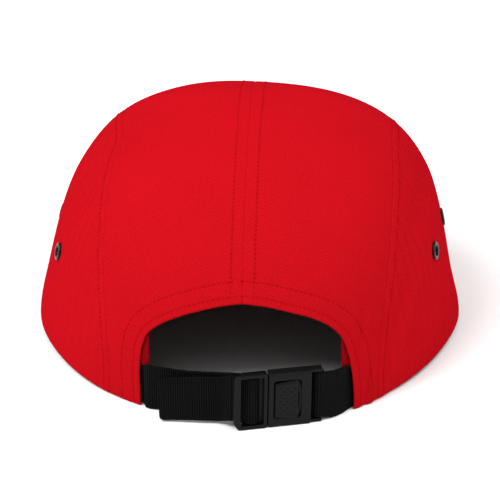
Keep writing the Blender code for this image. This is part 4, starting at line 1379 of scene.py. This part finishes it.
def ribbon(name, stations, replaces, corner=0.0):
    """Webbing: a flat section with rounded edges, carried along the stations, its wall swelling at each rib.

    The lower edge rises in a quarter circle over the last bit of the length, as a melted corner.
    """
    edges = np.array(stations)
    rough = np.linalg.norm(np.diff(edges[:, :3], axis=0), axis=1).sum()
    count = int(rough / sizes().rib * 8)
    path = smooth_line(edges, np.linspace(0.0, 1.0, count))
    low, high = path[:, :3], path[:, 3:]
    left_over = np.linalg.norm(low - low[-1], axis=1)
    low = low + (high - low) / sizes().webbing_width * rolled_edge(left_over, max(corner, 1e-6))[:, None]
    middle = (low + high) / 2.0
    run = np.gradient(middle, axis=0)
    up = high - low
    width = np.linalg.norm(up, axis=1, keepdims=True)
    up = up / width
    normal = np.cross(run, up)
    normal /= np.linalg.norm(normal, axis=1, keepdims=True)
    walked = walked_lengths(middle)
    swell = np.abs(np.sin(walked / sizes().rib * math.pi))
    half = sizes().webbing_wall / 2.0 - 0.10 * MM * (1.0 - swell)
    across = np.linspace(-1.0, 1.0, 27)
    turn = np.linspace(-math.pi / 2.0, math.pi / 2.0, 7)[1:-1]
    flat = np.zeros_like(across)
    ends = np.ones_like(turn)
    place = np.concatenate([across, ends, across[::-1], -ends])
    side = np.concatenate([flat + 1.0, -np.sin(turn), flat - 1.0, np.sin(turn)])
    proud = np.concatenate([flat, np.cos(turn), flat, -np.cos(turn)])
    inner = width / 2.0 - half[:, None] - 0.14 * MM * (1.0 - swell[:, None])
    aside = place[None] * inner + proud[None] * half[:, None]
    points = (
        middle[:, None]
        + up[:, None] * aside[..., None]
        + normal[:, None] * (side[None] * half[:, None])[..., None]
    )
    weave = np.stack([np.broadcast_to(walked[:, None], aside.shape), aside], axis=-1)
    faces = quads_of(*aside.shape, closed_columns=True).tolist() + end_caps(*aside.shape)
    look = material_once("black_nylon_webbing", black_webbing)
    return make_piece(name, rested(points), faces, look, replaces, weave, None, 60.0, True)


def strap_left():
    """Webbing from the left hem to the bar, round it and back outside as the free tail."""
    bar_x, bar_y = left_bar()
    wall = sizes().webbing_wall
    post = frame_left() + FRAME_POST / 2.0
    outer = -(BUCKLE_FACE - BUCKLE_WALL) + FIT_GAP + wall / 2.0
    behind = outer + 2.0 * wall
    foot = arch_foot(-1.0)
    stations = [
        hidden_station(foot - STRAP_HIDDEN, LEFT_HIDDEN_SHARE),
        hidden_station(foot - STRAP_HIDDEN / 2.0, LEFT_HIDDEN_SHARE),
        hidden_station(foot + sizes().cloth, LEFT_HIDDEN_SHARE),
    ]
    stations += [free_station(*row) for row in BASE_RUN]
    stations.append(buckle_station(post - FRAME_POST, behind, -1.4 * MM))
    stations.append(buckle_station(post + FRAME_POST / 2.0, behind, -0.7 * MM))
    stations += round_bar(bar_x + 0.55 * MM, bar_y, 90.0, -90.0)
    stations.append(buckle_station(post + FRAME_POST / 2.0, outer, -0.7 * MM))
    stations.append(buckle_station(post - FRAME_POST, outer, -1.4 * MM))
    stations += [free_station(*row) for row in TAIL_RUN]
    return ribbon("strap_left_webbing", stations, ("strap_left",), TAIL_CORNER)


def strap_right():
    """Short webbing from the right hem round the socket's end bar, turned back inside."""
    bar_x, bar_y = end_bar()
    reach = BAR_RADIUS + FIT_GAP + sizes().webbing_wall / 2.0
    foot = arch_foot(1.0)
    stations = [
        hidden_station(foot + STRAP_HIDDEN, RIGHT_HIDDEN_SHARE),
        hidden_station(foot + STRAP_HIDDEN / 2.0, RIGHT_HIDDEN_SHARE),
        hidden_station(foot - sizes().cloth, RIGHT_HIDDEN_SHARE),
    ]
    stations += [free_station(*row) for row in RIGHT_RUN]
    stations += round_bar(bar_x, bar_y, -75.0, -270.0, 11)
    stations.append(buckle_station(bar_x + 0.7 * reach, bar_y + 1.05 * reach, 0.8 * MM))
    stations.append(buckle_station(bar_x + 1.3 * reach, bar_y + 1.20 * reach, 1.5 * MM))
    return ribbon("strap_right_webbing", stations, ("strap_right",))


# Buckle

def rounded_loop(low_x, high_x, low_z, high_z, radii, steps=7, flat=0.0):
    """Closed outline of a rectangle whose corners are quarter ovals, or nearer a straight cut by the flat share.

    The radii are one number, or one pair across and up for each corner from the upper right one round.
    """
    radii = np.asarray(radii, dtype=float)
    radii = np.broadcast_to(radii if radii.ndim == 2 else radii.reshape(-1, 1), (4, 2))
    share = np.linspace(0.0, 1.0, steps)
    corners = ((high_x, high_z, 1.0, 1.0), (low_x, high_z, -1.0, 1.0),
               (low_x, low_z, -1.0, -1.0), (high_x, low_z, 1.0, -1.0))
    loop = []
    for index, (x, z, right, up) in enumerate(corners):
        across, high = radii[index]
        part = share if index % 2 == 0 else 1.0 - share
        arc = np.stack([np.cos(part * math.pi / 2.0), np.sin(part * math.pi / 2.0)], axis=-1)
        cut = np.stack([1.0 - part, part], axis=-1)
        off = 1.0 - arc - (cut - arc) * flat
        loop.append(np.stack([x - right * across * off[:, 0], z - up * high * off[:, 1]], axis=-1))
    return np.concatenate(loop)


def ring_surface(outer, inner, front, back, edge):
    """Closed ring between an outer and an inner outline, its four long edges rounded by quarter circles."""
    span = inner - outer
    aim = span / np.linalg.norm(span, axis=1, keepdims=True) * edge
    turn = np.linspace(0.0, math.pi / 2.0, 5)
    loops = []
    for line, inward, face, out in ((outer, 1.0, back, -edge), (inner, -1.0, back, -edge),
                                    (inner, -1.0, front, edge), (outer, 1.0, front, edge)):
        first = (inward > 0.0) == (face == back)
        for angle in turn if first else turn[::-1]:
            flat = line + inward * aim * (1.0 - math.cos(angle))
            level = np.full(len(flat), face + out * (1.0 - math.sin(angle)))
            loops.append(np.stack([flat[:, 0], level, flat[:, 1]], axis=-1))
    return np.stack(loops), quads_of(len(loops), len(outer), True, True)


def block_surface(low, high, edge=BLOCK_EDGE, steps=4):
    """Closed block with rounded edges: each cube point is held to the inner block, then pushed out by the edge."""
    low = np.asarray(low, dtype=float)
    high = np.asarray(high, dtype=float)
    half = (high - low) / 2.0
    flat = half - edge
    lean = np.tan(np.linspace(0.0, math.pi / 4.0, steps)) * edge
    points = []
    faces = []
    for axis in range(3):
        first, second = (axis + 1) % 3, (axis + 2) % 3
        lines = [np.concatenate([-(flat[k] + lean[::-1]), flat[k] + lean]) for k in (first, second)]
        quads = quads_of(2 * steps, 2 * steps)
        for sign, turned in ((-1.0, quads), (1.0, quads[:, ::-1])):
            cube = np.zeros((2 * steps, 2 * steps, 3))
            cube[..., axis] = sign * half[axis]
            cube[..., first], cube[..., second] = np.meshgrid(*lines, indexing="ij")
            held = np.clip(cube, -flat, flat)
            push = cube - held
            push /= np.linalg.norm(push, axis=-1, keepdims=True)
            faces.append(turned + 4 * steps * steps * len(points))
            points.append((held + push * edge + (high + low) / 2.0).reshape(-1, 3))
    return np.concatenate(points), np.concatenate(faces)


def rod_surface(x, y, radius, low, high, sides=20):
    """Upright rod with flat ends tucked into its neighbours."""
    turn = np.linspace(0.0, 2.0 * math.pi, sides, endpoint=False)
    points = [
        np.stack([x + radius * close * np.cos(turn), y + radius * close * np.sin(turn), np.full(sides, z)], axis=-1)
        for close, z in ((0.02, low), (1.0, low), (1.0, high), (0.02, high))
    ]
    return np.stack(points), quads_of(4, sides, closed_columns=True)


def joined(parts):
    """One list of points and one of faces from several surfaces, each turned outwards."""
    points = []
    faces = []
    for place, quads in parts:
        flat = place.reshape(-1, 3)
        corner = flat[quads]
        volume = np.sum(corner[:, 0] * np.cross(corner[:, 1] - corner[:, 3], corner[:, 2]))
        faces.append((quads if volume >= 0.0 else quads[:, ::-1]) + sum(len(p) for p in points))
        points.append(flat)
    return np.concatenate(points), np.concatenate(faces)


def buckle_piece(name, parts, replaces=()):
    """Piece of black plastic from surfaces in the buckle's frame."""
    points, faces = joined(parts)
    look = material_once("black_moulded_plastic", moulded_plastic)
    place = moved(points, rest_matrix() @ buckle_frame())
    return make_piece(name, place, faces, look, replaces, sharp=38.0)


def bar_rod(x, y):
    """Bar that the webbing passes round, tucked into the rails above and below the slot."""
    reach = slot_half() + RAIL / 2.0
    return rod_surface(x, y, BAR_RADIUS, -reach, reach)


def buckle_insert():
    """Left half: a frame with a cut lower corner, a deeper ring behind it, the bar and the tongue."""
    left = frame_left()
    right = left + FRAME_LENGTH
    slot = slot_half()
    half = slot + RAIL
    edge = 0.4 * MM
    split = BUCKLE_WALL - BUCKLE_FACE
    corners = np.array(((0.6, 0.6), (0.9, 1.5), (2.3, 3.4), (0.8, 0.8))) * MM
    window = np.array(((0.8, 0.8), (0.5, 0.5), (0.5, 0.5), (1.2, 1.2))) * MM
    deep_window = np.array(((2.2, 2.2), (1.2, 1.2), (1.2, 1.2), (1.6, 1.6))) * MM
    outer = rounded_loop(left - 0.9 * MM, right, -half - 0.2 * MM, half, corners, flat=0.55)
    inner = rounded_loop(left + FRAME_POST, right - FRAME_END, -slot, slot, window)
    deep_outer = rounded_loop(left + FRAME_POST + TUCK, right - TUCK, TUCK - half, half - TUCK, corners, flat=0.55)
    deep_inner = rounded_loop(left + FRAME_POST + 1.2 * MM, right - DEEP_POST, TUCK - slot, slot - 0.3 * MM,
                              deep_window)
    parts = [
        ring_surface(outer, inner, -BUCKLE_FACE, split, edge),
        ring_surface(deep_outer, deep_inner, split + 0.5 * MM, INSERT_BACK, 0.35 * MM),
    ]
    for low, high in ((slot, half - TUCK), (TUCK - half, -slot)):
        parts.append(block_surface((left + 3.0 * MM, split - edge, low), (right - TUCK, INSERT_BACK - TUCK, high)))
    parts.append(bar_rod(*left_bar()))
    tongue = slot - RAIL / 2.0
    tip = socket_left() + SOCKET_BORDER + WINDOW_LENGTH + FIT_GAP
    parts.append(block_surface((right - FRAME_END / 2.0, -TONGUE_WALL / 2.0, -tongue),
                               (tip, TONGUE_WALL / 2.0, tongue)))
    return buckle_piece("buckle_insert_frame", parts, ("buckle_insert",))


def window_outline(inset):
    """Window outline: straight on the left, bowed outwards on the right by a parabola over its height."""
    start = socket_left() + SOCKET_BORDER + inset
    end = socket_left() + SOCKET_BORDER + WINDOW_LENGTH - inset
    half = WINDOW_HEIGHT / 2.0 - inset
    loop = rounded_loop(start, end, -half, half, max(1.3 * MM - inset, 0.4 * MM), 9)
    share = np.clip((loop[:, 0] - start) / (end - start), 0.0, 1.0) ** 4
    bow = WINDOW_BOW * (1.0 - (loop[:, 1] / half) ** 2) - WINDOW_BOW
    return loop + np.stack([bow * share, np.zeros(len(loop))], axis=-1)


def dimples(x, z):
    """Depth of five staggered columns of round dimples, each a Gaussian pit."""
    depth = np.zeros_like(x)
    for column in range(5):
        count = 5 if column % 2 == 0 else 4
        for row in range(count):
            off_x = x - (3.1 + 1.38 * column) * MM
            off_z = z - ((row - (count - 1) / 2.0) * 2.99 - 0.6) * MM
            depth += np.exp(-(off_x ** 2 + off_z ** 2) / PIT_RADIUS ** 2)
    return depth


def button_panel():
    """Panel of the button: sunk at its left, nearly flush at its right, dimpled, its edges rolled back."""
    across, up = np.meshgrid(np.linspace(0.0, 1.0, 92), np.linspace(0.0, 1.0, 150), indexing="ij")
    span = BUTTON_SPAN[1] - BUTTON_SPAN[0]
    x = BUTTON_SPAN[0] + span * across
    half = WINDOW_HEIGHT / 2.0
    low = -half + 0.45 * MM
    high = half - (0.8 + 1.2 * (1.0 - across)) * MM
    z = low + (high - low) * up
    gap = np.minimum(np.minimum(across, 1.0 - across) * span, np.minimum(up * (high - low), high - z))
    pits = dimples(x, z)
    y = -BUCKLE_FACE + BUTTON_RECESS + BUTTON_DIP * (1.0 - across) + rolled_edge(gap, 0.35 * MM) + PIT_DEPTH * pits
    points = np.stack([x + socket_left() + SOCKET_BORDER, y, z], axis=-1)
    look = material_once("black_moulded_plastic", moulded_plastic)
    # The pits' depths also mark painted shade in the plastic
    item = make_piece("push_button_panel", moved(points, rest_matrix() @ buckle_frame()), quads_of(*x.shape), look,
                      values={"pit": pits}, sharp=60.0)
    return thicken(item, BUTTON_WALL)


def button_rib():
    """Rib at the button's right: a bowed bar with a rounded face, carried up the window."""
    up = np.linspace(-1.0, 1.0, 41)[:, None]
    close = np.ones_like(up)
    close[[0, -1]] = 0.02
    turn = np.linspace(0.0, 2.0 * math.pi, 28, endpoint=False)
    across, deep = (np.sign(wave) * np.abs(wave) ** 0.55 * close for wave in (np.cos(turn), np.sin(turn)))
    middle = socket_left() + SOCKET_BORDER + WINDOW_LENGTH - 0.45 * MM - RIB_HALF - WINDOW_BOW * up ** 2
    points = np.stack([
        middle + RIB_HALF * across,
        -BUCKLE_FACE + 0.25 * MM + RIB_DEPTH * (1.0 + deep),
        up * (WINDOW_HEIGHT / 2.0 - 0.5 * MM) + np.zeros_like(turn),
    ], axis=-1)
    return buckle_piece("push_button_rib", [(points, quads_of(*points.shape[:2], closed_columns=True))])


def buckle_socket():
    """Right half: a rounded face with the bowed window, a body behind it, two arms and the end bar."""
    left = socket_left()
    end = left + SOCKET_LENGTH
    tip = end + ARM_LENGTH
    slot = slot_half()
    half = slot + RAIL
    wide = slot + 0.3 * MM
    edge = 0.45 * MM
    split = -TONGUE_WALL / 2.0 - FIT_GAP
    outer = rounded_loop(left, end, -half + 0.1 * MM, half - 0.1 * MM, 0.8 * MM, 9)
    parts = [ring_surface(outer, window_outline(0.0), -BUCKLE_FACE, split, edge)]
    for low, high in ((slot, half - TUCK), (TUCK - half, -slot)):
        parts.append(block_surface((left + TUCK, split - edge, low), (tip, BUCKLE_BACK, high), edge))
        parts.append(block_surface((end - 0.8 * MM, 0.7 * MM - BUCKLE_FACE, low), (tip, split + edge, high), edge))
    for low, high in (
        ((left + 0.3 * MM, -split, -wide), (end - 0.15 * MM, BUCKLE_BACK, wide)),
        ((left + SOCKET_BORDER + WINDOW_LENGTH + 3.0 * FIT_GAP, split - edge, -slot),
         (end - TUCK, TONGUE_WALL / 2.0 + 0.6 * MM, slot)),
        ((end - 0.8 * MM, 0.4 * MM, -wide), (end + 0.55 * MM, BUCKLE_BACK, wide)),
    ):
        parts.append(block_surface(low, high))
    parts.append(bar_rod(*end_bar()))
    return buckle_piece("buckle_socket_body", parts, ("buckle_socket",))


# Stage

def area_light(name, place, aim, size, energy):
    light = bpy.data.lights.new(name, "AREA")
    light.shape = "DISK"
    light.size = size
    light.energy = energy
    item = bpy.data.objects.new(name, light)
    item.location = place
    item.rotation_euler = (Vector(aim) - Vector(place)).to_track_quat("-Z", "Y").to_euler()
    bpy.context.scene.collection.objects.link(item)


def studio_floor():
    mesh = bpy.data.meshes.new("studio_floor")
    signs = ((-1.0, -1.0), (1.0, -1.0), (1.0, 1.0), (-1.0, 1.0))
    corners = [(right * FLOOR_REACH, front * FLOOR_REACH, 0.0) for right, front in signs]
    mesh.from_pydata(corners, [], [(0, 1, 2, 3)])
    mesh.materials.append(material_once("pale_floor", painted_floor))
    floor = bpy.data.objects.new("studio_floor", mesh)
    bpy.context.scene.collection.objects.link(floor)


def studio_camera():
    camera = bpy.data.cameras.new("photograph_view")
    camera.lens = LENS
    camera.sensor_width = SENSOR
    camera.clip_end = 20.0
    item = bpy.data.objects.new("photograph_view", camera)
    forward = Vector((-math.cos(VIEW_HEIGHT) * math.sin(VIEW_TURN), math.cos(VIEW_HEIGHT) * math.cos(VIEW_TURN),
                      -math.sin(VIEW_HEIGHT)))
    item.location = Vector(LOOK_AT) - forward * VIEW_DISTANCE
    item.rotation_euler = forward.to_track_quat("-Z", "Y").to_euler()
    bpy.context.scene.collection.objects.link(item)
    bpy.context.scene.camera = item


def studio_world():
    world = bpy.data.worlds.new("studio_sky")
    world.use_nodes = True
    background = world.node_tree.nodes["Background"]
    background.inputs["Color"].default_value = (1.0, 1.0, 1.0, 1.0)
    background.inputs["Strength"].default_value = SKY_STRENGTH
    bpy.context.scene.world = world
    bpy.context.scene.view_settings.view_transform = "Standard"


# Operators

class CAP_OT_panels(bpy.types.Operator):
    """Build the five cloth panels of the crown"""
    bl_idname = "cap.panels"
    bl_label = "Cloth panels"

    def execute(self, context):
        front_panel()
        side_panel(-1.0, "side_panel_left")
        side_panel(1.0, "side_panel_right")
        back_panel(-1.0, "back_panel_left")
        back_panel(1.0, "back_panel_right")
        arch_facing(-1.0, "arch_facing_left")
        arch_facing(1.0, "arch_facing_right")
        return {"FINISHED"}


class CAP_OT_sewing(bpy.types.Operator):
    """Sew the crown's topstitching"""
    bl_idname = "cap.sewing"
    bl_label = "Topstitching"

    def execute(self, context):
        crown_sewing()
        return {"FINISHED"}


class CAP_OT_lining(bpy.types.Operator):
    """Build the sweatband and the front panel's backing"""
    bl_idname = "cap.lining"
    bl_label = "Lining"

    def execute(self, context):
        sweatband()
        front_backing()
        return {"FINISHED"}


class CAP_OT_peak(bpy.types.Operator):
    """Build the covered peak and its stitch rows"""
    bl_idname = "cap.peak"
    bl_label = "Peak"

    def execute(self, context):
        peak()
        peak_sewing()
        return {"FINISHED"}


class CAP_OT_eyelets(bpy.types.Operator):
    """Set the four ring eyelets"""
    bl_idname = "cap.eyelets"
    bl_label = "Eyelets"

    def execute(self, context):
        for name, across, along in EYELETS:
            eyelet(name, across, along)
        return {"FINISHED"}


class CAP_OT_strap(bpy.types.Operator):
    """Lay the two lengths of webbing"""
    bl_idname = "cap.strap"
    bl_label = "Strap"

    def execute(self, context):
        strap_left()
        strap_right()
        return {"FINISHED"}


class CAP_OT_buckle(bpy.types.Operator):
    """Build both halves of the push buckle and its button"""
    bl_idname = "cap.buckle"
    bl_label = "Push buckle"

    def execute(self, context):
        buckle_insert()
        buckle_socket()
        button_panel()
        button_rib()
        return {"FINISHED"}


class CAP_OT_stage(bpy.types.Operator):
    """Set the floor, the lights and the camera"""
    bl_idname = "cap.stage"
    bl_label = "Stage"

    def execute(self, context):
        studio_floor()
        studio_world()
        for light in LIGHTS:
            area_light(*light)
        studio_camera()
        return {"FINISHED"}


class CAP_PT_sidebar(bpy.types.Panel):
    """Lists the cap's builders in the sidebar"""
    bl_idname = "CAP_PT_sidebar"
    bl_label = "Five panel cap"
    bl_space_type = "VIEW_3D"
    bl_region_type = "UI"
    bl_category = "Cap"

    def draw(self, context):
        layout = self.layout
        for operator in OPERATORS:
            layout.operator(operator.bl_idname)
        for group in (context.scene.cap_sizes, context.scene.cap_colours):
            for key in group.__annotations__:
                layout.prop(group, key)


OPERATORS = (CAP_OT_panels, CAP_OT_sewing, CAP_OT_lining, CAP_OT_peak, CAP_OT_eyelets, CAP_OT_strap,
             CAP_OT_buckle, CAP_OT_stage)
CLASSES = (CapSizes, CapColours) + OPERATORS + (CAP_PT_sidebar,)


def register():
    for entry in CLASSES:
        bpy.utils.register_class(entry)
    bpy.types.Scene.cap_sizes = PointerProperty(type=CapSizes)
    bpy.types.Scene.cap_colours = PointerProperty(type=CapColours)


def unregister():
    del bpy.types.Scene.cap_colours
    del bpy.types.Scene.cap_sizes
    for entry in reversed(CLASSES):
        bpy.utils.unregister_class(entry)


def main():
    register()
    bpy.ops.cap.panels()
    bpy.ops.cap.sewing()
    bpy.ops.cap.lining()
    bpy.ops.cap.peak()
    bpy.ops.cap.eyelets()
    bpy.ops.cap.strap()
    bpy.ops.cap.buckle()
    bpy.ops.cap.stage()


if __name__ == "__main__":
    main()
